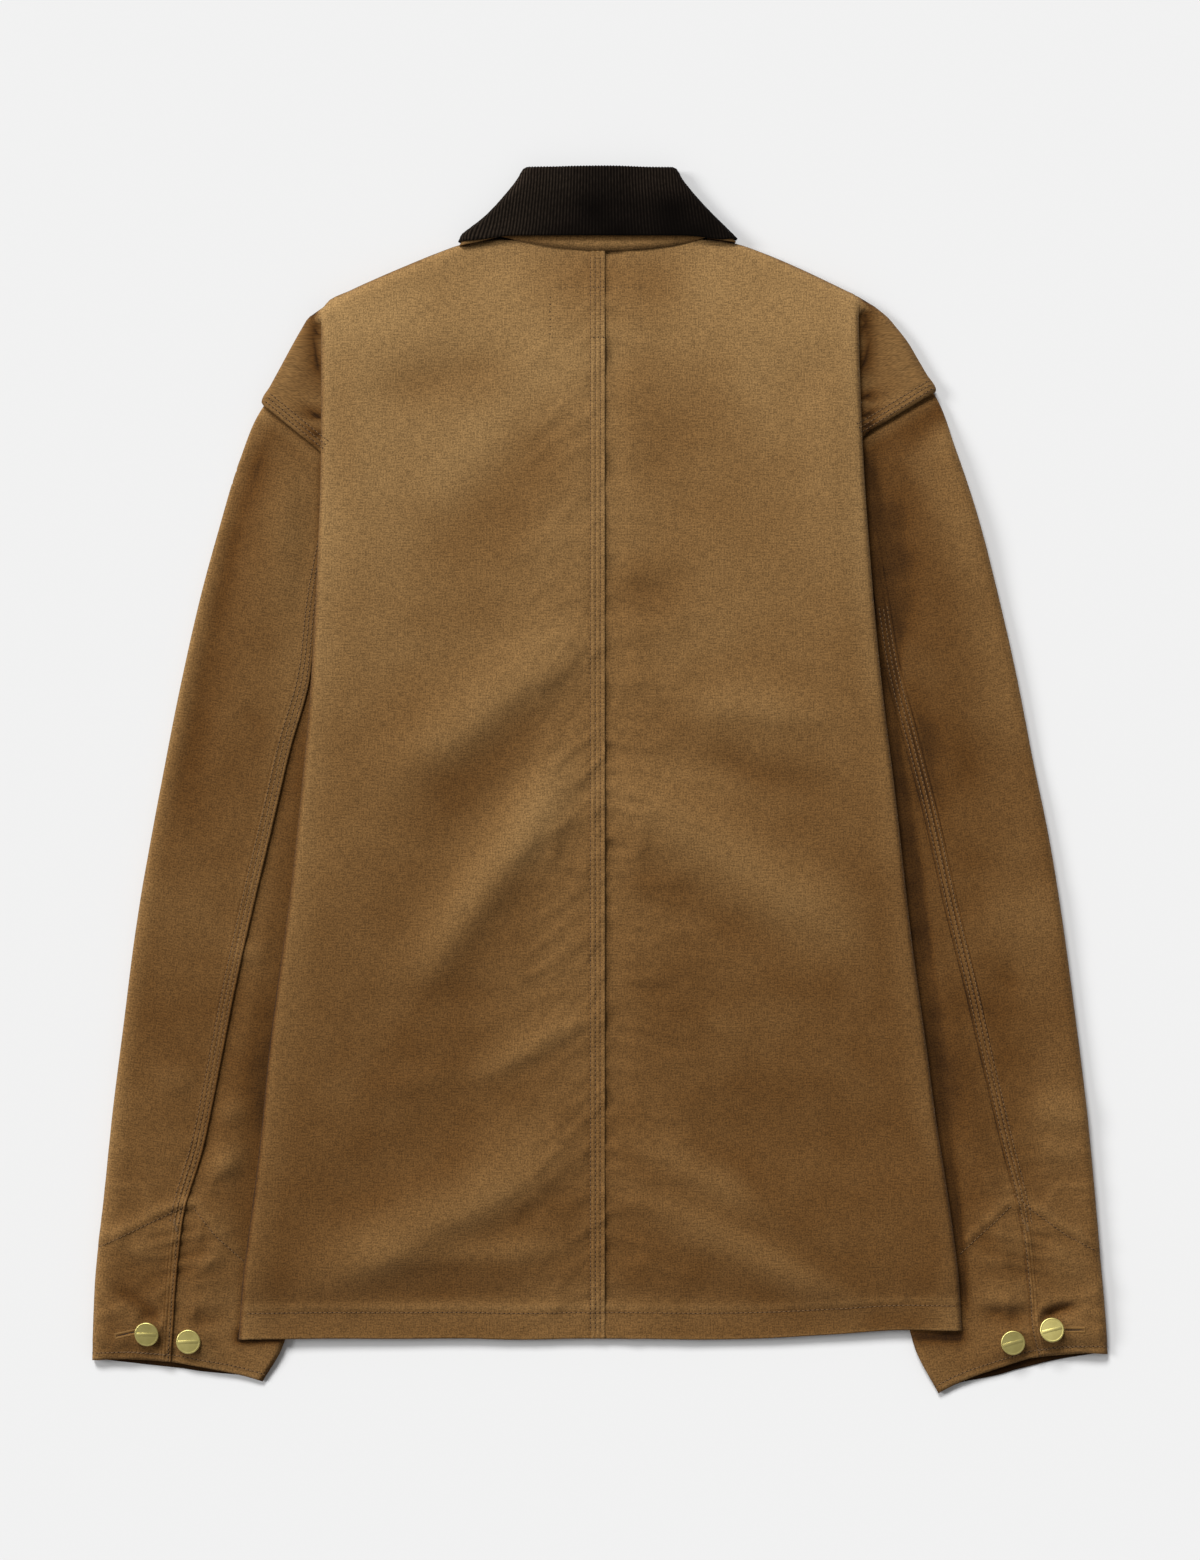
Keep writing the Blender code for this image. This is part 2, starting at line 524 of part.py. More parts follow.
def under_collar_grid():
    """The under collar's rings, ending in a strip over the back panel."""
    grid = collar_grid(UNDER_RINGS)
    outward = grid[-1] - grid[-2]
    outward /= np.linalg.norm(outward, axis=1, keepdims=True)
    strip = []
    for share in (0.5, 1.0):
        row = grid[-1] + outward * STRIP_MARGIN * share
        for i, (x, y, z) in enumerate(grid[-1]):
            if z > 10:
                on_back = share * float(1 - smoothstep(STRIP_HALF - 22, STRIP_HALF, abs(x)))
                edge = STRIP_EDGE + STRIP_RISE * (x / STRIP_HALF) ** 2
                row[i, 1] += (edge - row[i, 1]) * on_back
                row[i, 2] -= STRIP_DROP * on_back
        strip.append(row)
    return np.concatenate([grid, np.array(strip)])


def material(name, colour, roughness, metallic):
    made = bpy.data.materials.new(name)
    made.use_nodes = True
    shader = made.node_tree.nodes["Principled BSDF"]
    shader.inputs["Base Color"].default_value = (*colour, 1.0)
    shader.inputs["Roughness"].default_value = roughness
    shader.inputs["Metallic"].default_value = metallic
    made.diffuse_color = (*colour, 1.0)
    return made


def add_object(name, mesh, collection, finish):
    piece = bpy.data.objects.new(name, mesh)
    collection.objects.link(piece)
    mesh.materials.append(finish)
    return piece


def add_cloth(name, grid, collection, finish):
    """A cloth wall: an open surface lofted through the grid's rows, thickened both ways."""
    rows, columns = grid.shape[:2]
    builder = bmesh.new()
    points = [builder.verts.new(tuple(point)) for point in (grid * MM).reshape(-1, 3)]
    for r in range(rows - 1):
        for c in range(columns - 1):
            corner = r * columns + c
            above = corner + columns
            builder.faces.new([points[corner], points[corner + 1], points[above + 1], points[above]])
    mesh = bpy.data.meshes.new(name)
    builder.to_mesh(mesh)
    builder.free()
    mesh.shade_smooth()
    piece = add_object(name, mesh, collection, finish)
    wall = piece.modifiers.new("Wall", "SOLIDIFY")
    wall.thickness = WALL * MM
    wall.offset = 0.0
    wall.use_rim = True
    return piece


def mirrored(grid):
    grid = grid.copy()
    grid[:, :, 0] *= -1
    return grid


def add_button(name, side, x, y, collection, finish):
    """A flat brass button turned from a profile: shank, dished back, rolled rim, plain face."""
    radius = BUTTON_DIAMETER / 2
    top = SHANK_LENGTH + BUTTON_THICKNESS
    profile = [
        (0, top - BUTTON_RIM), (radius - 1.6, top - BUTTON_RIM), (radius - 1.0, top),
        (radius - 0.4, top - 0.1), (radius, top - 0.7), (radius - 0.2, top - 1.5),
        (radius - 2.0, SHANK_LENGTH), (SHANK_DIAMETER / 2, SHANK_LENGTH), (SHANK_DIAMETER / 2, 0), (0, 0),
    ]
    mesh = bpy.data.meshes.new(name)
    edges = [(i, i + 1) for i in range(len(profile) - 1)]
    mesh.from_pydata([(r * MM, 0, z * MM) for r, z in profile], edges, [])
    piece = add_object(name, mesh, collection, finish)
    seat = max(float(sleeve_heights(side, x + dx, y)[0]) for dx in (-2, 0, 2)) + HALF
    signed = -x if side == "left" else x
    piece.location = (signed * MM, y * MM, (seat + SEAM_GAP) * MM)
    screw = piece.modifiers.new("Turned", "SCREW")
    screw.steps = screw.render_steps = 20
    screw.use_merge_vertices = True
    screw.merge_threshold = 0.00001
    return piece


def clear_scene():
    for piece in list(bpy.data.objects):
        bpy.data.objects.remove(piece, do_unlink=True)


def main():
    clear_scene()
    jacket = bpy.data.collections.new("chore_jacket")
    bpy.context.scene.collection.children.link(jacket)
    canvas = material("canvas", CANVAS_BROWN, 0.9, 0.0)
    corduroy = material("corduroy", CORDUROY_BROWN, 0.95, 0.0)
    brass = material("brass", BRASS, 0.35, 1.0)
    for side in ("left", "right"):
        place = mirrored if side == "left" else (lambda grid: grid)
        add_cloth(f"back_{side}", place(back_grid(side)), jacket, canvas)
        add_cloth(f"front_{side}", place(front_grid(side)), jacket, canvas)
        for piece in ("top", "under"):
            add_cloth(f"sleeve_{side}_{piece}", place(sleeve_grid(side, piece)), jacket, canvas)
    add_cloth("collar_upper", collar_grid(UPPER_RINGS), jacket, corduroy)
    add_cloth("collar_under", under_collar_grid(), jacket, canvas)
    for name, (side, x, y) in BUTTONS.items():
        add_button(name, side, x, y, jacket, brass)


main()
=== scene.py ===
import math

import bpy
import numpy as np
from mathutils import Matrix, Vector
from mathutils.bvhtree import BVHTree


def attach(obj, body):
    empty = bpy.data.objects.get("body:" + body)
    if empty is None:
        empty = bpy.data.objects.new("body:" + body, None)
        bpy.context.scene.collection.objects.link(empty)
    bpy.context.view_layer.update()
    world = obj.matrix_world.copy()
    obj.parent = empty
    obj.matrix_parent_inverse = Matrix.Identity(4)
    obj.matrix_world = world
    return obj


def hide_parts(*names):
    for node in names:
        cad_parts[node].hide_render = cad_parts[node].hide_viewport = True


# A canvas chore jacket laid flat with its back up. Lengths are in millimetres until a mesh is made.
# X runs across from the centre line, Y from hem to collar. Tables give x as the distance from the centre.

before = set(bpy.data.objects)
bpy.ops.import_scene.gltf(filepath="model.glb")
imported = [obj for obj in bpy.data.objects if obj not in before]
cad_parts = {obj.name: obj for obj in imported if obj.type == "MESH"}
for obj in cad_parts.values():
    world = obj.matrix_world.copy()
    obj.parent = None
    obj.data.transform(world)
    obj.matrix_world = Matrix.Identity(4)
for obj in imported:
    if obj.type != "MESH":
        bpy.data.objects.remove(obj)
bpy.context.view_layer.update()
mm = 0.001

cloth = {
    "wall": 1.2,  # spacing given to plies that touch
    "thickness": 0.95,  # 12 oz cotton duck, washed
    "seamGap": 0.3,
    "lap": 1.6,  # height from a ply to the one lapped over it
    "fell": 9.4,  # width of a felled seam
    "edgeRoll": 8.0,  # how far in from the shoulder edge the cloth rounds over
}

body = {
    "top": 362.0,
    "frontNeck": 280.0,
    "frontNeckSide": 362.5,
    "neckHalf": 78.0,
    "hem": -376.5,
    "underarm": 114.8,
    "centreSeam": 3.4,  # edge of the lapped left back, right of the centre line
    "frontFoldIn": 3.0,
    "frontLap": 20.0,
    "cornerReach": 25.0,
    "foldRadius": 2.6,
    "plyRadius": 1.0,
    "neckDip": 2.3,
    "gussetTurn": 3.0,
    "stubReach": 7.0,
    "lowerStep": 37.0,
    "hemDepth": 19.0,
    "hemLift": 6.5,  # how much higher the hem lies at the right side
}

heights = {  # middles of the plies
    "front": 0.6,
    "frontReturn": 2.3,
    "sleeveLow": 3.9,
    "sleevePressed": 7.3,
    "sleeveFree": 9.0,
    "backLower": 8.9,
    "edge": 5.0,
    "edgeGap": 1.1,
    "backCentre": 12.9,
    "backCentreDrop": 2.6,
    "backLevelY": 40.0,
    "leafRise": 3.2,
    "leafX": 98.0,
    "leafY": 214.0,
    "leafFade": 24.0,
}

# shoulder outline from the neck to the tip: x, y
shoulder = {
    "left": [(78, 363.2), (84, 361.6), (94, 360.4), (102.6, 357.2), (118.8, 351), (137.7, 342.9),
             (156.6, 334.8), (173.5, 326.7), (187, 318.6), (197.1, 310.5), (206.6, 294.3),
             (215.3, 278.1), (224.1, 261.9), (228.2, 253.8)],
    "right": [(78, 363.2), (84, 361.6), (94, 360.4), (104, 357), (118.1, 351), (137.7, 342.9),
              (153.9, 334.8), (170.8, 326.7), (185, 318.6), (195.1, 310.5), (207.9, 294.3),
              (217.4, 278.1), (226.7, 261.9)],
}
armhole = {"left": (187.7, 220.7), "right": (176.9, 231.5)}  # where its seam passes under the side fold

# side fold of the body: y, fold x left, fold x right, gusset depth, fold height, height of the ply below
bodySections = [
    (326, 187.4, 173.8, 0.0, 16.4, 10.9),
    (313, 187.4, 174.0, 6.0, 16.6, 10.9),
    (256, 187.4, 175.4, 50.0, 16.9, 10.9),
    (202, 187.8, 177.9, 78.0, 17.2, 10.9),
    (148, 189.9, 181.8, 98.0, 17.4, 10.9),
    (94, 192.5, 186.4, 107.0, 17.2, 10.6),
    (40, 196.2, 192.3, 101.0, 17.0, 10.0),
    (-14, 201.5, 199.1, 95.0, 16.8, 9.8),
    (-68, 207.2, 205.0, 88.0, 16.6, 9.8),
    (-122, 214.4, 211.5, 81.0, 16.4, 9.8),
    (-176, 221.8, 219.1, 74.0, 16.2, 9.8),
    (-230, 227.0, 226.2, 66.0, 16.0, 9.8),
    (-284, 233.3, 234.8, 59.0, 15.8, 9.8),
    (-338, 240.5, 241.4, 50.0, 15.4, 9.6),
    (-378, 243.7, 244.2, 43.0, 14.8, 9.4),
]

# rows of the body above the underarm: place of the edge, height of the fold above it, how far the fold
# has formed
bodyRows = [
    (0.00, 7.0, 0.00), (0.043, 8.2, 0.05), (0.12, 9.4, 0.25), (0.238, 11.0, 0.68), (0.417, 13.0, 1.0),
    (0.60, 12.0, 1.0), (0.80, 10.5, 1.0), (1.00, 8.3, 1.0), (1.14, 8.2, 1.0), (1.50, 7.4, 1.0),
    (1.80, 6.8, 1.0), (2.00, 6.4, 1.0), (2.03, 6.3, 1.0), (2.09, 6.0, 1.0), (2.28, 5.2, 1.0),
    (2.48, 4.2, 1.0), (2.68, 3.0, 1.0), (2.84, 1.8, 1.0), (2.94, 0.8, 1.0), (3.00, 0.0, 1.0),
]
backColumns = [22, 38, 54, 68, 78, 92, 110, 130, 150, 167]
frontColumns = [35, 50, 62, 70, 76, 80, 90, 104, 124, 146, 168]
edgeSteps = (8.0, 3.6, 1.1, 0.0)


def smoothstep(low, high, value):
    t = np.clip((value - low) / (high - low), 0.0, 1.0)
    return t * t * (3 - 2 * t)


def ridge(away, halfWidth):
    # the height of a soft ridge at this distance from its line
    return np.exp(-0.5 * (away / halfWidth) ** 2)


def fading(away, reach):
    # 1 on a line and nothing well past its reach
    return np.exp(-((away / reach) ** 2))


def mirrored(side, x):
    # x to the right across both halves: a left piece is made at the right and turned over at the end
    return -x if side == "left" else x


def through(at, places, values):
    # a smooth curve through values given at places, which may run either way
    order = np.argsort(places)
    xs, ys = np.asarray(places, float)[order], np.asarray(values, float)[order]
    slopes = np.gradient(ys, xs, axis=0)
    i = np.clip(np.searchsorted(xs, at) - 1, 0, len(xs) - 2)
    width = xs[i + 1] - xs[i]
    t = np.clip((at - xs[i]) / width, 0.0, 1.0)
    if ys.ndim > 1:
        shape = np.shape(t) + (1,) * (ys.ndim - 1)
        t, width = np.reshape(t, shape), np.reshape(width, shape)
    rise = ys[i] * (1 + 2 * t) * (1 - t) ** 2 + ys[i + 1] * t * t * (3 - 2 * t)
    return rise + width * t * (1 - t) * (slopes[i] * (1 - t) - slopes[i + 1] * t)


def bodyCurve(column, y):
    return through(y, [row[0] for row in bodySections], [row[column] for row in bodySections])


def foldX(side, y):
    return bodyCurve(1 if side == "left" else 2, y) - cloth["wall"] / 2


def shoulderY(side, x):
    xs, ys = zip(*shoulder[side])
    return np.interp(x, xs, ys)


def shoulderX(side, y):
    xs, ys = zip(*shoulder[side])
    return np.interp(y, ys[::-1], xs[::-1])


def distanceTo(line, x, y):
    # distance in plan from points to a line of (x, y) corners
    nearest = np.full(np.shape(x), 1e9)
    for (ax, ay), (bx, by) in zip(line, line[1:]):
        run, rise = bx - ax, by - ay
        along = np.clip(((x - ax) * run + (y - ay) * rise) / (run**2 + rise**2), 0, 1)
        nearest = np.minimum(nearest, np.hypot(x - ax - along * run, y - ay - along * rise))
    return nearest


def edgeRound(distance, radius):
    # from 0 at an edge to 1 inside its radius, as on a quarter round
    return np.sqrt(np.clip(1 - (1 - np.minimum(distance / radius, 1)) ** 2, 0, 1))


def backHeight(side, x, y):
    # middle of the back's upper ply, which rises to the side fold and dips behind the neck
    level = smoothstep(heights["backLevelY"], body["hem"], y)
    centre = heights["backCentre"] - heights["backCentreDrop"] * level
    rise = bodyCurve(4, y) - centre
    across = np.clip(np.abs(x) / foldX(side, y), 0, 1)
    neck = smoothstep(322, 354, y) * (1 - smoothstep(0.38, 0.6, across))
    return centre + rise * across**2 - body["neckDip"] * neck


def armholeLine(side, y):
    # x of the panels' edge from the tip of the shoulder to below the arm
    tip, fold = shoulder[side][-1], armhole[side]
    under = body["underarm"]
    end = (foldX(side, under) - bodyCurve(3, under) + body["stubReach"], under)
    return np.interp(y, [end[1], fold[1], tip[1]], [end[0], fold[0], tip[0]])


def beyondBody(side, x, y):
    # how far a point lies outside what the back covers: past its side fold, its armhole or its hem
    tip, fold = shoulder[side][-1], armhole[side]
    length = math.hypot(tip[0] - fold[0], tip[1] - fold[1])
    below = ((x - fold[0]) * (tip[1] - fold[1]) - (y - fold[1]) * (tip[0] - fold[0])) / length
    return np.maximum(np.minimum(x - foldX(side, y), below), body["hem"] - y)


def aboveFold(side, x, y):
    # 1 on the part of the shoulder that reaches out past the side fold
    return smoothstep(200, 240, y) * smoothstep(-2, 4, x - foldX(side, y))


def fromCentreSeam(side, x):
    # from the panel's own stitched edge at the centre
    return np.abs(x + body["centreSeam"]) if side == "left" else np.abs(x - body["centreSeam"])


def onFell(away):
    # 1 on the doubled cloth of a felled seam, at this distance from its edge
    return smoothstep(cloth["fell"] + 1.6, cloth["fell"] - 0.4, away)


def fromArmhole(side, x, y):
    return distanceTo([shoulder[side][-1], armhole[side]], x, y)


def sleeveHeights(side, x, y):
    # middles of a sleeve's upper and lower halves, pressed together where the body lies on them
    pressed = 1 - smoothstep(2, 24, beyondBody(side, x, y))
    upper = heights["sleeveFree"] + (heights["sleevePressed"] - heights["sleeveFree"]) * pressed
    return upper, heights["front"] + (heights["sleeveLow"] - heights["front"]) * pressed


def neckEdge(x):
    return body["top"] + 1.5 * (x / 75) ** 2


def frontCorner(side):
    # y where the armhole's edge comes in past the front's side fold
    ys = np.linspace(armhole[side][1], body["underarm"], 200)
    return float(ys[np.argmax(armholeLine(side, ys) < foldX(side, ys) - body["frontFoldIn"])])


def rowPlaces(side):
    # rows of the body from the shoulder to the hem: y, y at its edge, how far the fold has formed
    start = float(shoulderY(side, foldX(side, 318)))
    anchors = [start - bodyRows[0][1], shoulder[side][-1][1], frontCorner(side), body["underarm"]]
    rows = []
    for place, above, formed in bodyRows:
        edgeY = float(np.interp(place, [0, 1, 2, 3], anchors))
        rows.append((edgeY + above, edgeY, formed))
    count = round((body["underarm"] - body["hem"]) / body["lowerStep"])
    for i in range(1, count + 1):
        y = body["underarm"] + (body["hem"] - body["underarm"]) * i / count
        rows.append((y, y, 1.0))
    return rows


def topSpread(side, rowY, x, topY):
    # rows near the top follow the neck and the shoulder, and level out towards the underarm
    start = rowPlaces(side)[0][0]
    level = smoothstep(0, 1, (start - rowY) / (start - body["underarm"]))
    return rowY + (topY(x) - start) * (1 - level)


def arc(centreX, centreZ, radius, first, last, steps):
    angles = np.radians(np.linspace(first, last, steps + 1))
    return [(centreX + radius * math.cos(a), centreZ + radius * math.sin(a)) for a in angles]


def backGrid(side):
    # middle surface of one back panel: centre seam, top, side fold, gusset, panel edge
    start = rowPlaces(side)[0][0]
    firstFold = float(foldX(side, start))
    radius = body["foldRadius"]
    tipY = shoulder[side][-1][1]

    def topY(x):
        return np.where(x < body["neckHalf"], neckEdge(x), shoulderY(side, x))

    grid = []
    for y, edgeY, formed in rowPlaces(side):
        fold = float(foldX(side, y))
        inner = fold - float(bodyCurve(3, y))
        topZ, returnZ = float(bodyCurve(4, y)), float(bodyCurve(5, y))
        belowArm = float(smoothstep(body["underarm"] + 26, body["underarm"] - 18, y))
        turn = body["plyRadius"] + ((returnZ - heights["frontReturn"]) / 2 - body["plyRadius"]) * belowArm
        if edgeY >= tipY:
            edge = float(shoulderX(side, edgeY)) - cloth["wall"] / 2
        elif edgeY > body["underarm"]:
            edge = float(armholeLine(side, edgeY))
        else:
            edge = inner + turn + max(body["gussetTurn"], body["stubReach"] - turn)
        seam = -body["centreSeam"] if side == "left" else body["centreSeam"] - cloth["fell"]
        narrow = (fold - radius) / (firstFold - radius)
        xs = [seam, body["centreSeam"] + 6] + [x * narrow for x in backColumns] + [fold - radius]
        columns = [[x, float(topSpread(side, y, abs(x), topY)), None] for x in xs]
        flat = np.linspace(fold - radius, edge, 18)[1:]
        folded = arc(fold - radius, topZ - radius, radius, 50, -90, 3)
        lowZ = topZ - 2 * radius
        ply = inner + turn - fold + radius
        folded += [(fold - radius + ply * t, lowZ + (returnZ - lowZ) * t) for t in (1 / 3, 2 / 3)]
        folded += arc(inner + turn, returnZ - turn, turn, 90, 270, 4)
        visible = edge - inner - turn
        nearEdge = min(1.0, visible / 20)
        for backOff in [0.75 * visible, 0.5 * visible] + [step * nearEdge for step in edgeSteps]:
            folded.append((edge - backOff, returnZ - 2 * turn))
        for i, (x, z) in enumerate(folded):
            t = i / (len(folded) - 1)
            x = flat[i] + (x - flat[i]) * formed
            level = topZ + (heights["backLower"] - topZ) * t
            z = level + (z - level) * formed
            reach = max(0.0, (x - inner) / max(edge - inner, 1)) if i > 10 or formed < 1 else 0.0
            columns.append([x, y + (edgeY - y) * min(reach, 1.0), z])
        grid.append(columns)
    for columns in grid:
        for point in columns:
            x, y, z = point
            if z is None:
                z = float(backHeight(side, x, y))
                if side == "right":
                    lapped = 1 - smoothstep(body["centreSeam"] + 6, body["centreSeam"] + 18, x)
                    z -= cloth["lap"] * float(lapped)
            if y > tipY - 4:
                away = distanceTo(shoulder[side], max(abs(x), body["neckHalf"] - 6), y)
                low = heights["edge"] + heights["edgeGap"] / 2
                z = low + (z - low) * float(edgeRound(away, cloth["edgeRoll"]))
            point[2] = z
    return np.array(grid)


def frontGrid(side):
    # middle surface of one front panel: centre, sheet on the floor, side fold, ply turned in
    start = rowPlaces(side)[0][0]
    low = heights["front"]
    radius = (heights["frontReturn"] - low) / 2
    firstFold = float(foldX(side, start)) - body["frontFoldIn"]
    tipY = shoulder[side][-1][1]

    def topY(x):
        within = np.clip(1 - (x / body["neckHalf"]) ** 2, 0, 1)
        depth = (body["frontNeckSide"] - body["frontNeck"]) * np.sqrt(within)
        return np.where(x < body["neckHalf"], body["frontNeckSide"] - depth, shoulderY(side, x))

    grid = []
    for y, edgeY, _ in rowPlaces(side):
        fold = float(foldX(side, y)) - body["frontFoldIn"]
        inner = float(foldX(side, y)) - float(bodyCurve(3, y))
        narrow = (fold - radius) / (firstFold - radius)
        if edgeY >= tipY:
            edge = float(shoulderX(side, edgeY)) - cloth["wall"] / 2
        elif edgeY > body["underarm"]:
            edge = float(armholeLine(side, edgeY))
            y = edgeY + (y - edgeY) * min(abs(edge - fold) / body["cornerReach"], 1.0)
        else:
            turn = (float(bodyCurve(5, y)) - heights["frontReturn"]) / 2
            edge = inner + turn + max(body["gussetTurn"], body["stubReach"] - turn) + cloth["seamGap"]
        xs = [-body["frontLap"], 0.0, body["frontLap"]]
        xs += [x * narrow for x in frontColumns] + [fold - radius]
        columns = [[x, float(topSpread(side, y, abs(x), topY)), low] for x in xs]
        if edge > fold + 1.5:
            strip = [(x, low) for x in np.linspace(fold - radius, edge, 8)[1:]]
        elif edge > fold - 0.8:
            strip = [(fold - radius * (1 - t), low + radius * t * t) for t in (0.5, 1.0)]
            strip += [(fold, low + radius * (1 + t)) for t in (0.3, 0.5, 0.7, 0.85, 1.0)]
        else:
            strip = arc(fold - radius, low + radius, radius, -54, 90, 3)
            reach = edge - fold + radius
            strip += [(fold - radius + reach * t, heights["frontReturn"]) for t in (0.4, 0.75, 1.0)]
        run = np.cumsum([math.dist(a, b) for a, b in zip([(fold - radius, low)] + strip, strip)])
        for (x, z), length in zip(strip, run):
            columns.append([x, y + (edgeY - y) * float(length / run[-1]), z])
        grid.append(columns)
    for columns in grid:
        for point in columns:
            x, y, z = point
            leaf = np.maximum(abs(x) - heights["leafX"], heights["leafY"] - y)
            z += heights["leafRise"] * float(1 - smoothstep(0, heights["leafFade"], leaf))
            if side == "right":
                z += cloth["lap"] * float(1 - smoothstep(body["frontLap"] + 3, body["frontLap"] + 18, x))
            if y > tipY - 4:
                away = distanceTo(shoulder[side], max(abs(x), body["neckHalf"] - 6), y)
                top = heights["edge"] - heights["edgeGap"] / 2
                z = top + (z - top) * float(edgeRound(away, cloth["edgeRoll"]))
            point[2] = z
    return np.array(grid)


sleeve = {
    "setOff": 1.6,  # from the body's edge, under the arm
    "tuck": 9.0,  # under the body's felled edge
    "tuckEnds": 0.72,  # share of the armhole, from the tip, along which it is tucked under
    "out": (0.709, 0.705),  # across and down, from the body straight out through the armhole
    "tipZ": 5.2,
    "tipSlope": 0.12,
    "tipDrop": 0.4,
    "tipNose": 1.4,
    "nose": 5.0,  # in-plane half width of a folded edge
    "hiddenSeam": 0.84,
    "ventTop": -300.0,
    "ventLap": 24.0,
}

# sleeve sections, armhole to cuff: outer fold x, y, elbow seam x, y, inner fold x, y
sleeveSections = {
    "left": [
        (226.0, 252.2, 172.0, 203.0, 93.0, 112.0), (242.7, 216.0, 182.0, 160.0, 97.0, 84.0),
        (256.1, 172.0, 190.0, 117.0, 102.5, 48.0), (269.5, 122.0, 195.1, 69.5, 110.5, 8.0),
        (281.7, 68.0, 208.5, 20.0, 120.0, -36.0), (292.8, 12.0, 221.0, -34.0, 131.5, -82.0),
        (303.5, -46.0, 233.7, -88.0, 144.0, -130.0), (313.1, -104.0, 245.6, -142.0, 157.5, -178.0),
        (320.5, -162.0, 255.7, -194.0, 171.5, -226.0), (327.8, -220.0, 266.4, -246.0, 184.5, -274.0),
        (333.7, -277.0, 280.5, -296.0, 197.0, -318.0), (339.8, -335.0, 285.5, -344.0, 207.5, -360.0),
        (341.2, -364.0, 287.2, -370.0, 214.0, -382.0), (342.2, -390.8, 288.9, -391.5, 227.5, -405.3),
    ],
    "right": [
        (224.6, 260.2, 168.0, 212.0, 89.0, 110.0), (239.6, 222.0, 178.0, 166.0, 92.5, 82.0),
        (254.4, 177.0, 185.0, 120.0, 98.5, 46.0), (267.7, 126.0, 192.2, 74.0, 108.0, 6.0),
        (280.0, 72.0, 205.0, 24.0, 118.5, -38.0), (291.0, 16.0, 219.0, -30.0, 130.0, -84.0),
        (302.8, -42.0, 231.2, -85.0, 142.5, -132.0), (312.0, -100.0, 244.6, -139.0, 156.0, -180.0),
        (319.8, -158.0, 256.6, -191.0, 171.0, -228.0), (327.0, -216.0, 268.9, -243.0, 187.0, -276.0),
        (332.7, -274.0, 281.8, -296.0, 199.0, -320.0), (337.6, -331.0, 287.3, -343.0, 206.0, -360.0),
        (340.2, -361.0, 289.0, -368.0, 211.5, -382.0), (342.0, -386.8, 294.5, -388.1, 227.7, -413.5),
    ],
}


def seamPlace(section):
    # where the elbow seam crosses a section, as a share of the way from the outer fold to the inner one
    outer, seam, inner = (np.array(section[i:i + 2]) for i in (0, 2, 4))
    near, far = np.linalg.norm(seam - outer), np.linalg.norm(inner - seam)
    return float(near / (near + far))


def sectionPoint(section, place):
    # a smooth line across the sleeve through its outer fold, elbow seam and inner fold
    outer, seam, inner = (np.array(section[i:i + 2]) for i in (0, 2, 4))
    at = seamPlace(section)
    first = (place - at) * (place - 1) / at
    middle = place * (place - 1) / (at * (at - 1))
    last = place * (place - at) / (1 - at)
    return outer * first + seam * middle + inner * last


def bodyCrossing(side, section):
    # how far across a section the sleeve stays clear of the body
    places = np.linspace(0.1, 0.78, 69)
    outside = [p for p in places if beyondBody(side, *sectionPoint(section, p)) > 0]
    return float(outside[-1]) if outside else 0.1


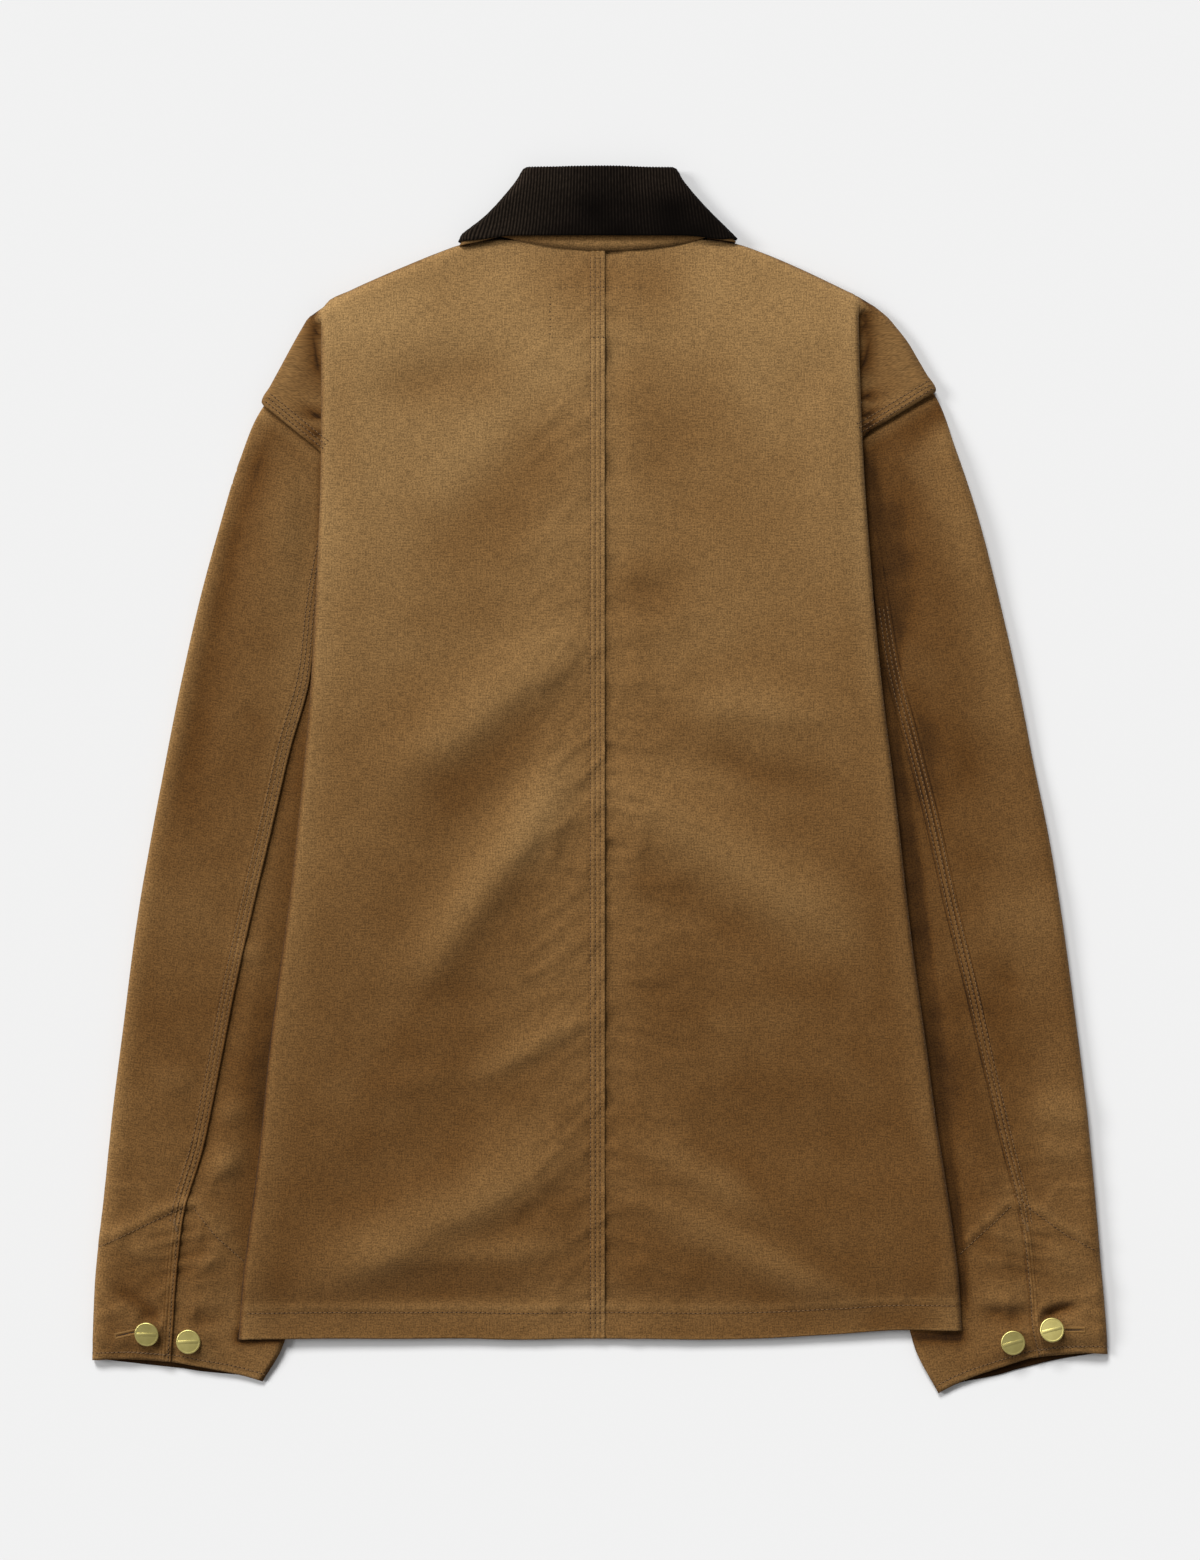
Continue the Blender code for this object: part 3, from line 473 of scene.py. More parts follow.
def sleeveGrid(side, piece):
    # middle surface of a top sleeve or an under sleeve, each half of the tube folded flat
    sections = sleeveSections[side]
    outX, outY = sleeve["out"]
    grid = []
    for number in range(-1, len(sections)):
        section = sections[max(number, 0)]
        length = math.hypot(section[4] - section[0], section[5] - section[1])
        at = seamPlace(section)
        reach = sleeve["nose"] if number > 0 else sleeve["tipNose"]
        nose = reach / length
        bend = [nose * (1 - math.cos(a)) for a in np.radians([90, 60, 30, 0, 30, 60, 90])]
        if piece == "top":
            upper = list(np.linspace(at, nose, 7)[:-1])
            cross = bodyCrossing(side, section)
            end = sleeve["hiddenSeam"] - cloth["seamGap"] / 2 / length
            lower = [max(cross - 30 / length, nose * 1.5), max(cross - 16 / length, nose * 2.2),
                     max(cross - 3 / length, nose * 3), (max(cross, nose * 3) + end) / 2, end]
            path = [(p, 1) for p in upper] + [(p, 1) for p in bend[:4]]
            path += [(p, -1) for p in bend[4:]] + [(p, -1) for p in lower]
        else:
            vent = smoothstep(sleeve["ventTop"] + 20, sleeve["ventTop"], section[3])
            tuck = cloth["fell"] + sleeve["ventLap"] * float(vent)
            upper = [at - tuck / length, at + 4 / length, at + 14 / length]
            upper += list(np.linspace(at + 14 / length, 1 - nose, 4)[1:-1])
            end = sleeve["hiddenSeam"] + cloth["seamGap"] / 2 / length
            lower = list(np.linspace(1 - nose, end, 4)[1:])
            path = [(p, 1) for p in upper] + [(1 - p, 1) for p in bend[:4]]
            path += [(1 - p, -1) for p in bend[4:]] + [(p, -1) for p in lower]
        columns = []
        for place, face in path:
            x, y = sectionPoint(section, place)
            if number < 0:
                tuckIn = max(sleeve["tuck"] * (1 - (place / sleeve["tuckEnds"]) ** 2), -0.3)
                x, y = x - outX * tuckIn, y + outY * tuckIn
            elif number == 0:
                setOff = sleeve["setOff"] * float(smoothstep(0.55, 0.75, place))
                x, y = x + outX * setOff, y - outY * setOff
            upperZ, lowerZ = (float(z) for z in sleeveHeights(side, x, y))
            if number <= 0:
                fromTip = math.dist((x, y), shoulder[side][-1])
                upperZ = min(upperZ, sleeve["tipZ"] + sleeve["tipSlope"] * fromTip)
                lowerZ -= sleeve["tipDrop"] * float(1 - smoothstep(5, 30, fromTip))
            into = min(place, 1 - place) * length
            z = (upperZ + lowerZ) / 2 + face * (upperZ - lowerZ) / 2 * float(edgeRound(into, reach))
            if piece == "under" and face > 0:
                z -= cloth["lap"] * float(1 - smoothstep(at + 4 / length, at + 14 / length, place))
            columns.append((x, y, z))
        grid.append(columns)
    return np.array(grid)


# rings of the two collars, one inside the other, from the fall's edge over the roll line to the neck seam:
# centre back y, side x, side y, reach of the side fold, leaf end x, leaf end y, height behind, in front
upperRings = [
    (363.2, 93.6, 362.6, 5.0, 60.0, 224.0, 18.2, 0.6), (373.0, 83.6, 372.5, 5.0, 47.0, 246.0, 18.6, 0.6),
    (390.0, 67.6, 389.0, 6.0, 30.0, 274.0, 18.6, 0.6), (403.5, 56.2, 402.8, 8.0, 14.0, 299.0, 18.6, 0.6),
    (411.9, 49.6, 411.7, 6.4, 9.0, 308.0, 17.7, 1.5), (412.8, 46.8, 410.8, 5.0, 7.6, 308.9, 15.6, 3.8),
    (411.9, 45.7, 408.1, 2.9, 7.0, 308.0, 13.5, 6.1), (403.5, 48.5, 403.2, 3.0, 7.0, 300.0, 12.6, 7.0),
    (386.0, 61.5, 386.0, 3.2, 6.6, 293.0, 12.6, 7.0), (363.6, 76.0, 365.4, 3.2, 6.0, 284.5, 12.6, 7.0),
]
underRings = [
    (363.9, 91.6, 362.4, 3.0, 60.0, 224.6, 16.7, 2.1), (373.0, 81.5, 372.3, 2.9, 47.0, 246.3, 17.1, 2.1),
    (390.0, 65.4, 388.6, 3.8, 30.0, 274.0, 17.1, 2.1), (403.0, 54.6, 401.7, 6.4, 15.0, 297.0, 17.1, 2.1),
    (409.8, 50.6, 407.4, 6.1, 10.5, 305.0, 16.4, 2.8), (411.0, 48.9, 408.6, 4.6, 9.0, 306.6, 15.6, 3.9),
    (409.8, 48.6, 406.4, 4.0, 8.0, 305.0, 14.8, 5.0), (403.0, 50.6, 403.2, 4.3, 7.6, 298.0, 14.1, 5.5),
    (386.0, 63.4, 386.4, 4.6, 7.0, 291.0, 14.1, 5.5), (363.9, 77.8, 366.0, 4.6, 6.4, 285.5, 14.1, 5.5),
]
neckStrip = {"edge": 353.4, "rise": 12.0, "half": 80.0, "middle": 5.0, "drop": 1.6, "margin": 0.5}


def stripEdge(x):
    # lower edge of the canvas strip under the fall
    return neckStrip["edge"] + neckStrip["rise"] * ((x - neckStrip["middle"]) / neckStrip["half"]) ** 2


def collarGrid(rings):
    # one half of each ring runs from the centre back round the side to the leaf's end in front
    grid = []
    for backY, sideX, sideY, roundX, endX, endY, topZ, lowZ in rings:
        flat = np.array([0, 0.2, 0.4, 0.6, 0.8]) * (sideX - roundX)
        half = [(x, backY + (sideY - backY) * (x / sideX) ** 2, topZ) for x in flat]
        for angle in np.radians([0, 36, 72, 108, 144, 180]):
            half.append((sideX - roundX + roundX * math.sin(angle), sideY,
                         (topZ + lowZ) / 2 + (topZ - lowZ) / 2 * math.cos(angle)))
        for angle in np.radians([18, 36, 54, 72, 90]):
            half.append((endX + (sideX - roundX - endX) * math.cos(angle),
                         sideY - (sideY - endY) * math.sin(angle), lowZ))
        grid.append([(-x, y, z) for x, y, z in half[:0:-1]] + half)
    return np.array(grid)


def underCollarGrid():
    # the under collar's rings, and a strip beyond them that lies on the back
    grid = collarGrid(underRings)
    outward = grid[-1] - grid[-2]
    outward /= np.linalg.norm(outward, axis=1, keepdims=True)
    strip = []
    for share in (0.5, 1.0):
        row = grid[-1] + outward * neckStrip["margin"] * share
        for i, (x, _, z) in enumerate(grid[-1]):
            if z > 10:  # the part that lies on the back, not the part in front
                half = neckStrip["half"]
                onBack = share * float(1 - smoothstep(half - 14, half - 2, abs(x)))
                row[i, 1] += (min(float(stripEdge(x)), row[i, 1]) - row[i, 1]) * onBack
                row[i, 2] -= neckStrip["drop"] * onBack
        strip.append(row)
    return np.concatenate([grid, np.array(strip)])


def spacing(length, step, zones=()):
    # places from 0 to length, a step apart, or closer inside zones of (start, end, step): a fine grid of
    # the same surface has points close enough for creases
    places = [0.0]
    while places[-1] < length - 1e-6:
        here = places[-1]
        gap = min([step] + [fine for start, end, fine in zones if start - 0.6 * step <= here < end])
        places.append(min(here + gap, length))
    if len(places) > 2 and places[-1] - places[-2] < 0.3 * (places[-2] - places[-3]):
        del places[-2]
    return np.array(places)


def runAlong(grid, axis):
    # how far each point lies along the cloth from the first row (axis 0) or the first column (axis 1)
    steps = np.linalg.norm(np.diff(grid, axis=axis), axis=2)
    return np.concatenate([np.zeros_like(steps.take([0], axis)), np.cumsum(steps, axis=axis)], axis=axis)


def meanRun(grid, axis):
    # how far each row or column lies from the first one on average
    steps = np.linalg.norm(np.diff(grid, axis=axis), axis=2)
    return np.concatenate([[0.0], np.cumsum(steps.mean(axis=1 - axis))])


def between(at, places, values):
    # a smooth run through points that never swings past them
    gaps = np.diff(places).reshape((-1,) + (1,) * (values.ndim - 1))
    rates = np.diff(values, axis=0) / gaps
    before, after = rates[:-1], rates[1:]
    first, second = 2 * gaps[1:] + gaps[:-1], gaps[1:] + 2 * gaps[:-1]
    same = before * after > 0
    mean = (first + second) / (first / np.where(same, before, 1) + second / np.where(same, after, 1))
    slopes = np.concatenate([rates[:1], np.where(same, mean, 0), rates[-1:]])
    i = np.clip(np.searchsorted(places, at, side="right") - 1, 0, len(places) - 2)
    width = np.diff(places)[i].reshape((-1,) + (1,) * (values.ndim - 1))
    t = (at - places[i]).reshape(width.shape) / width
    rise = values[i] * (1 + 2 * t) * (1 - t) ** 2 + values[i + 1] * t * t * (3 - 2 * t)
    return rise + width * t * (1 - t) * (slopes[i] * (1 - t) - slopes[i + 1] * t)


def refine(grid, rowStep, columnStep, rowZones=(), columnZones=(), fromEnd=False):
    # a finer grid through a coarse one, and how far along and across it each of its points lies
    rows, columns = meanRun(grid, 0), meanRun(grid, 1)
    if fromEnd:
        rowZones = [(rows[-1] - end, rows[-1] - start, fine) for start, end, fine in rowZones]
    along = spacing(rows[-1], rowStep, rowZones)
    across = spacing(columns[-1], columnStep, columnZones)
    fine = between(along, rows, grid)
    fine = between(across, columns, fine.transpose(1, 0, 2)).transpose(1, 0, 2)
    return fine, *np.meshgrid(along, across, indexing="ij")


def normalsOf(grid):
    # towards the side that faces up where the cloth lies flat, before a left piece is mirrored
    normals = np.cross(np.gradient(grid, axis=0), np.gradient(grid, axis=1))
    return normals / np.maximum(np.linalg.norm(normals, axis=2, keepdims=True), 1e-9)


noiseCells = 97  # lumps before the noise repeats


def softNoise(x, y, size, seed):
    # smooth random height from -1 to 1, in lumps of about this size
    values = np.random.default_rng(seed).uniform(-1, 1, (noiseCells, noiseCells))
    u, v = x / size + 37.3, y / size + 41.7
    i, j = np.floor(u).astype(int), np.floor(v).astype(int)
    s, t = u - i, v - j
    s, t = s * s * (3 - 2 * s), t * t * (3 - 2 * t)
    near, far = (values[(i + a) % noiseCells, j % noiseCells] for a in (0, 1))
    nearNext, farNext = (values[(i + a) % noiseCells, (j + 1) % noiseCells] for a in (0, 1))
    return (near * (1 - s) + far * s) * (1 - t) + (nearNext * (1 - s) + farNext * s) * t


def creases(x, y, size, seed, slant=0.0, stretch=1.0):
    # crumpled cloth: sharp short ridges between soft hollows, drawn out along a slant in degrees
    turn = math.radians(slant)
    run = (x * math.cos(turn) + y * math.sin(turn)) / stretch
    rise = y * math.cos(turn) - x * math.sin(turn)
    one = 1 - np.abs(softNoise(run, rise, size, seed)) * 2
    two = 1 - np.abs(softNoise(run + 0.5 * rise, rise - 0.4 * run, size * 0.7, seed + 1)) * 2
    return np.maximum(one, 0) ** 2 * 0.6 + np.maximum(two, 0) ** 2 * 0.4


foldWidth = 0.82  # of every fold, times the half width in its table
foldWander = 5  # how far a fold strays from its straight line


def folds(table, x, y):
    # soft ridges from one point to another: x1, y1, x2, y2, height, half width above the line, below it
    wander = foldWander * softNoise(x, y, 60, 77)
    total = np.zeros(np.shape(x))
    for ax, ay, bx, by, height, above, below in table:
        length = math.hypot(bx - ax, by - ay)
        along = ((x - ax) * (bx - ax) + (y - ay) * (by - ay)) / length**2
        across = ((x - ax) * (by - ay) - (y - ay) * (bx - ax)) / length * (1 if bx < ax else -1)
        across = across + wander * min(1, above / 12)
        width = np.where(across > 0, above, below) * foldWidth
        ends = smoothstep(-0.15, 0.3, along) * smoothstep(-0.25, 0.35, 1 - along)
        total += height * ends * ridge(across, width)
    return total


def puckers(along, away, pitch, height, reach, slant, seed, share=0.22):
    # short ripples that run out from a line of stitching
    random = np.random.default_rng(seed)
    first, last = float(np.min(along)), float(np.max(along))
    total = np.zeros(np.shape(along))
    for k in range(int((last - first) / pitch) + 1):
        middle = first + (k + random.uniform(0.1, 0.9)) * pitch
        tall = height * random.uniform(0.3, 1.0) * random.choice([1, 1, -1])
        far = reach * random.uniform(0.5, 1.4)
        tilt = slant + random.uniform(-0.25, 0.25)
        wide = pitch * share * random.uniform(0.8, 1.3) * (1 + away / (2.5 * reach))
        total += tall * ridge(along - middle - tilt * away, wide) * np.exp(-((away / far) ** 1.5))
    return total


def linear(code):
    # sRGB hex colour as linear RGB
    parts = [int(code[i:i + 2], 16) / 255 for i in (1, 3, 5)]
    return tuple(c / 12.92 if c <= 0.04045 else ((c + 0.055) / 1.055) ** 2.4 for c in parts)


def addNode(tree, kind, settings=None, **links):
    # a node with its settings, and its inputs set or linked by socket name
    node = tree.nodes.new(kind)
    for name, value in (settings or {}).items():
        setattr(node, name, value)
    for name, value in links.items():
        numbered = name[0] == "i" and name[1:].isdigit()
        socket = node.inputs[int(name[1:]) if numbered else name.replace("_", " ")]
        if isinstance(value, bpy.types.NodeSocket):
            tree.links.new(value, socket)
        else:
            socket.default_value = value
    return node


def newMaterial(name):
    made = bpy.data.materials.new(name)
    made.use_nodes = True
    made.node_tree.nodes.clear()
    return made, made.node_tree


def duckCanvas(name, look):
    # woven cotton duck, dyed and washed: matt, its colour set by a level that holds fading with painted
    # shade in the hollows and painted light on the high places, with uneven yarns that show as short
    # streaks both ways
    made, tree = newMaterial(name)
    place = addNode(tree, "ShaderNodeUVMap", {"uv_map": "cloth"}).outputs["UV"]

    def yarns(wide, tall, seed, detail=1.0):
        spot = addNode(tree, "ShaderNodeMapping", Vector=place, Location=(seed, seed * 0.7, 0),
                       Scale=(1000 / wide, 1000 / tall, 1))
        return addNode(tree, "ShaderNodeTexNoise", {"noise_dimensions": "2D"}, Vector=spot.outputs[0],
                       Scale=1.0, Detail=detail, Roughness=0.5).outputs[0]

    weft = yarns(look["slub"], look["yarn"], 3.0)
    warp = yarns(look["yarn"], look["slub"] * 1.3, 11.0)
    grains = yarns(look["yarn"], look["yarn"], 23.0, 0.0)
    blotches = yarns(*look["blotchSize"], 31.0)
    both = addNode(tree, "ShaderNodeMath", {"operation": "MULTIPLY_ADD"}, i0=warp, i1=0.7, i2=weft)
    height = addNode(tree, "ShaderNodeMath", {"operation": "MULTIPLY_ADD"}, i0=grains, i1=1.3,
                     i2=both.outputs[0])
    fadingAndShade = addNode(tree, "ShaderNodeAttribute", {"attribute_name": "fadingAndShade"})
    uneven = addNode(tree, "ShaderNodeMath", {"operation": "MULTIPLY_ADD"}, i0=blotches, i1=look["blotch"],
                     i2=fadingAndShade.outputs["Fac"])
    level = addNode(tree, "ShaderNodeMath", {"operation": "SUBTRACT"}, i0=uneven.outputs[0],
                    i1=look["blotch"] / 2)
    colour = addNode(tree, "ShaderNodeValToRGB", Fac=level.outputs[0])
    tones = colour.color_ramp.elements
    for fadeShadeLevel, _ in look["tones"][1:-1]:
        tones.new(fadeShadeLevel)
    for tone, (_, code) in zip(tones, look["tones"]):
        tone.color = (*linear(code), 1)
    shade = addNode(tree, "ShaderNodeMapRange", Value=height.outputs[0], From_Min=1.0, From_Max=2.0,
                    To_Min=1 - look["contrast"], To_Max=1 + look["contrast"])
    toned = addNode(tree, "ShaderNodeVectorMath", {"operation": "SCALE"}, i0=colour.outputs[0],
                    Scale=shade.outputs[0])
    bump = addNode(tree, "ShaderNodeBump", Strength=look["bump"], Distance=0.3 * mm,
                   Height=height.outputs[0])
    shader = addNode(tree, "ShaderNodeBsdfPrincipled", Base_Color=toned.outputs[0], Roughness=0.9,
                     IOR=1.47, Normal=bump.outputs[0], Sheen_Weight=0.03, Sheen_Roughness=0.5,
                     Specular_IOR_Level=0.12)
    addNode(tree, "ShaderNodeOutputMaterial", Surface=shader.outputs[0])
    return made


def corduroy(name, look):
    # cut-pile corduroy: near-black brown, dusty on the crowns of the wales and dark between them
    made, tree = newMaterial(name)
    place = addNode(tree, "ShaderNodeUVMap", {"uv_map": "cloth"}).outputs["UV"]
    parts = addNode(tree, "ShaderNodeSeparateXYZ", Vector=place)
    turn = addNode(tree, "ShaderNodeMath", {"operation": "MULTIPLY"}, i0=parts.outputs[0],
                   i1=math.tau / (wale * mm))
    wave = addNode(tree, "ShaderNodeMath", {"operation": "COSINE"}, i0=turn.outputs[0])
    crown = addNode(tree, "ShaderNodeMapRange", Value=wave.outputs[0], From_Min=-0.6, From_Max=1.0)
    nap = addNode(tree, "ShaderNodeMapping", Vector=place, Scale=(1000 / 1.1, 1000 / 4.0, 1))
    nap = addNode(tree, "ShaderNodeTexNoise", {"noise_dimensions": "2D"}, Vector=nap.outputs[0], Scale=1.0,
                  Detail=3.0)
    fadingAndShade = addNode(tree, "ShaderNodeAttribute", {"attribute_name": "fadingAndShade"})
    soft = addNode(tree, "ShaderNodeMath", {"operation": "MULTIPLY_ADD"}, i0=crown.outputs[0],
                   i1=look["crown"], i2=look["groove"])
    rubbed = addNode(tree, "ShaderNodeMath", {"operation": "MULTIPLY"}, i0=soft.outputs[0],
                     i1=nap.outputs[0])
    rubbed = addNode(tree, "ShaderNodeMath", {"operation": "MULTIPLY"}, i0=rubbed.outputs[0],
                     i1=fadingAndShade.outputs["Fac"])
    share = addNode(tree, "ShaderNodeMapRange", Value=rubbed.outputs[0], From_Min=0.0, From_Max=0.5)
    colour = addNode(tree, "ShaderNodeMix", {"data_type": "RGBA"}, Factor=share.outputs[0])
    colour.inputs[6].default_value = (*linear(look["dark"]), 1)
    colour.inputs[7].default_value = (*linear(look["light"]), 1)
    bump = addNode(tree, "ShaderNodeBump", Strength=0.5, Distance=0.4 * mm, Height=nap.outputs[0])
    shader = addNode(tree, "ShaderNodeBsdfPrincipled", Base_Color=colour.outputs[2], Roughness=1.0,
                     Normal=bump.outputs[0], Sheen_Weight=0.03, Sheen_Roughness=0.4,
                     Specular_IOR_Level=0.05)
    addNode(tree, "ShaderNodeOutputMaterial", Surface=shader.outputs[0])
    return made


def stampedBrass(name, look):
    # stamped brass, tumbled to a satin: fine pits break up the reflection
    made, tree = newMaterial(name)
    place = addNode(tree, "ShaderNodeTexCoord").outputs["Object"]
    pits = addNode(tree, "ShaderNodeTexNoise", Vector=place, Scale=1000 / look["pit"], Detail=2.0)
    tarnish = addNode(tree, "ShaderNodeTexNoise", Vector=place, Scale=1000 / look["stain"], Detail=3.0)
    colour = addNode(tree, "ShaderNodeMix", {"data_type": "RGBA"}, Factor=tarnish.outputs[0])
    colour.inputs[6].default_value = (*linear(look["bright"]), 1)
    colour.inputs[7].default_value = (*linear(look["tarnished"]), 1)
    rough = addNode(tree, "ShaderNodeMapRange", Value=pits.outputs[0], To_Min=0.38, To_Max=0.52)
    bump = addNode(tree, "ShaderNodeBump", Strength=0.25, Distance=0.1 * mm, Height=pits.outputs[0])
    shader = addNode(tree, "ShaderNodeBsdfPrincipled", Base_Color=colour.outputs[2], Metallic=1.0,
                     Roughness=rough.outputs[0], Normal=bump.outputs[0])
    addNode(tree, "ShaderNodeOutputMaterial", Surface=shader.outputs[0])
    return made


def plainFinish(name, code, roughness, grain):
    # spun thread or shade in a needle hole: one dyed colour, broken up along its length
    made, tree = newMaterial(name)
    place = addNode(tree, "ShaderNodeTexCoord").outputs["Object"]
    twist = addNode(tree, "ShaderNodeTexNoise", Vector=place, Scale=1000 / grain, Detail=2.0)
    vary = addNode(tree, "ShaderNodeMapRange", Value=twist.outputs[0], To_Min=0.7, To_Max=1.3)
    colour = addNode(tree, "ShaderNodeVectorMath", {"operation": "SCALE"}, i0=linear(code),
                     Scale=vary.outputs[0])
    shader = addNode(tree, "ShaderNodeBsdfPrincipled", Base_Color=colour.outputs[0], Roughness=roughness)
    addNode(tree, "ShaderNodeOutputMaterial", Surface=shader.outputs[0])
    return made


wale = 2.1  # the real wales are 1.5 mm apart, drawn 2.1 mm so that they show

finishes = {
    "canvas": duckCanvas("dyedCottonDuck", {
        "yarn": 1.0,  # duck yarns lie 0.55 mm apart, drawn 1 mm so that they show
        "slub": 6.0,
        # level, and its colour: painted crease shade, painted fold shade, worn, faded with painted light
        # on a high place
        "tones": [(0.0, "#2f1b06"), (0.08, "#563817"), (0.35, "#73542f"), (1.0, "#9c7c50")],
        "blotch": 0.08,  # how uneven the fading is
        "blotchSize": (30.0, 24.0),
        "contrast": 0.36,
        "bump": 0.25,
    }),
    "corduroy": corduroy("cutPileCorduroy", {
        "dark": "#050302",
        "light": "#3b3128",
        "crown": 0.8,  # how much lighter a wale's crown is than its groove
        "groove": 0.12,
    }),
    "brass": stampedBrass("stampedSatinBrass", {
        "bright": "#e9dc90",
        "tarnished": "#bdae66",
        "pit": 0.5,  # size of its pits and of its stains
        "stain": 6.0,
    }),
    "thread": plainFinish("spunPolyesterThread", "#70522d", 0.7, 1.5),
    "buttonholeThread": plainFinish("buttonholeTwist", "#7f5b27", 0.7, 1.5),
    "hole": plainFinish("shadeInNeedleHole", "#28190a", 1.0, 1.0),
}
print("finishes made")


pieces = {}  # every piece of cloth, and the grid it was made from
laid = {}


def pressed(grid):
    # everything at the hem and round the neck lies flatter than the body between
    x, y = np.abs(grid[:, :, 0]), grid[:, :, 1]
    flatter = 0.55 * smoothstep(-325, -374, y) * (1 - smoothstep(246, 280, x))
    flatter = flatter + 0.3 * smoothstep(296, 362, y) + 0.14 * smoothstep(362, 384, y)
    grid = grid.copy()
    grid[:, :, 2] -= flatter * np.maximum(grid[:, :, 2] - 3, 0)
    grid[:, :, 2] = np.maximum(grid[:, :, 2], cloth["thickness"] / 2)
    return grid


def meshObject(name, points, faces, finish, smooth=True):
    # points in metres
    mesh = bpy.data.meshes.new(name)
    mesh.from_pydata([tuple(point) for point in points], [], faces)
    if smooth:
        mesh.shade_smooth()
    mesh.materials.append(finishes[finish])
    made = bpy.data.objects.new(name, mesh)
    bpy.context.scene.collection.objects.link(made)
    return made


def clothPiece(name, node, grid, finish, fadingAndShade, mirror=False, byPlan=False, across=None, down=None):
    # a grid of points as a woven sheet: mesh, cloth coordinates in metres, fading with painted light and
    # shade, thickness
    grid = pressed(grid)
    u = runAlong(grid, 1) + grid[:, :1, 0] if across is None else across
    v = runAlong(grid, 0) if down is None else down
    if byPlan:
        v = body["top"] - grid[:, :, 1]
    if mirror:
        grid[:, :, 0] *= -1
    rows, columns = grid.shape[:2]
    numbers = np.arange(rows * columns).reshape(rows, columns)
    corners = [numbers[:-1, :-1], numbers[1:, :-1], numbers[1:, 1:], numbers[:-1, 1:]]
    faces = np.stack(corners if not mirror else corners[::-1], axis=-1).reshape(-1, 4)
    piece = meshObject(name, (grid * mm).reshape(-1, 3).tolist(), faces.tolist(), finish)
    mesh = piece.data
    places = np.stack([u.reshape(-1) * mm, v.reshape(-1) * mm], axis=1)[faces.reshape(-1)]
    mesh.uv_layers.new(name="cloth").data.foreach_set("uv", places.astype(np.float32).reshape(-1))
    fadeShadeLevel = mesh.attributes.new("fadingAndShade", "FLOAT", "POINT")
    fadeShadeLevel.data.foreach_set("value", np.clip(0.1 + 0.9 * fadingAndShade, 0, 1).astype(np.float32).reshape(-1))
    wall = piece.modifiers.new("thickness", "SOLIDIFY")
    wall.thickness = cloth["thickness"] * mm
    wall.offset = 0.0
    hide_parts(node)
    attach(piece, "root")
    pieces[name], laid[name] = piece, grid


# folds of the back, as it was carried and laid: x1, y1, x2, y2, height, half width above the line, below
# it; here x runs to the right across both halves
backFolds = [
    (-12, 262, -108, 150, -0.8, 18, 18), (-10, 98, -135, 4, 3.0, 18, 13),
    (-17, 12, -116, -130, 3.8, 18, 13), (-8, -162, -81, -203, 1.7, 10, 6),
    (-16, -250, -182, -336, 3.6, 24, 13), (-24, -318, -150, -322, 1.2, 9, 7),
    (-54, -148, -142, -144, -0.8, 12, 12), (-95, -196, -150, -212, 0.8, 7, 7),
    (-60, -214, -190, -296, -0.7, 18, 18), (-34, -348, -150, -346, -0.7, 7, 7),
    (60, 52, 150, 40, 1.6, 14, 9), (70, 22, 160, -16, -1.4, 12, 10), (8, -2, 168, -104, 3.4, 22, 16),
    (20, -60, 120, -112, -1.4, 14, 14), (64, -226, 205, -256, -1.8, 24, 20),
    (20, -246, 150, -306, 2.0, 12, 12), (14, -274, 206, -368, 2.2, 10, 15), (68, 140, 6, 122, -0.7, 9, 9),
    (60, 112, 4, 98, 0.6, 6, 6), (26, -325, 62, -333, 0.6, 5, 4), (70, -158, 98, -176, 0.6, 7, 6),
    (120, 250, 176, 300, -0.8, 14, 14), (-150, 262, -60, 280, -0.9, 12, 12),
    (30, 236, 70, 170, -1.0, 22, 22), (-50, 236, -20, 250, 0.6, 6, 6), (-20, 168, -60, 150, 0.6, 7, 6),
]

# painted light and shade on the back, lighter or darker than the cloth round it along its folds: as above,
# but with a gain as the height
backLightAndShade = [
    (60, 335, -40, 335, -0.45, 26, 26), (-20, 245, -80, 148, -0.38, 24, 24),
    (15, 290, 55, 215, -0.35, 32, 32), (20, 150, 45, 100, -0.3, 24, 24), (20, 270, 0, 40, -0.14, 66, 66),
    (-150, 270, -60, 266, -0.24, 17, 17), (-176, 290, -176, 180, -0.2, 14, 14),
    (60, 245, 150, 235, -0.22, 40, 40), (164, 290, 164, 180, -0.15, 12, 12),
    (70, 190, 150, 170, -0.15, 40, 40), (-130, 150, -60, 120, -0.15, 26, 26),
    (-185, 305, -120, 312, 0.15, 17, 17), (-175, 110, -165, 40, 0.12, 22, 22),
    (-45, 90, -50, 30, -0.15, 22, 22), (-46, 40, -122, -30, -0.32, 14, 14),
    (-50, -50, -145, -210, -0.35, 14, 14), (-70, -172, -150, -205, -0.3, 18, 18),
    (-50, -60, -56, -140, -0.15, 14, 14), (-140, -40, -130, -130, -0.15, 22, 22),
    (-140, 108, -60, 108, -0.14, 14, 14), (185, 60, 190, -20, -0.2, 16, 16),
    (20, -60, 60, -85, -0.2, 16, 16), (100, -125, 160, -150, -0.2, 18, 18),
    (30, 20, 100, -10, 0.15, 12, 12), (-120, 190, -60, 250, 0.14, 17, 17),
    (95, 280, 120, 220, 0.12, 22, 22), (-180, -70, -170, -190, -0.14, 24, 24),
    (10, -20, 170, -60, -0.3, 31, 31), (185, -60, 205, -200, -0.3, 26, 26),
    (140, -120, 165, -190, -0.12, 24, 24), (-30, -195, 0, -225, 0.12, 26, 26),
    (80, -222, 175, -242, 0.38, 14, 14), (100, -272, 170, -300, -0.5, 17, 17),
    (-110, -312, -20, -322, 0.3, 22, 22), (-5, -240, -5, -350, 0.22, 20, 20),
    (-180, -350, 60, -350, 0.38, 11, 11), (60, -350, 110, -350, 0.15, 11, 11),
    (175, -366, 225, -368, -0.4, 12, 12), (-60, -370, 40, -370, 0.12, 10, 10),
]


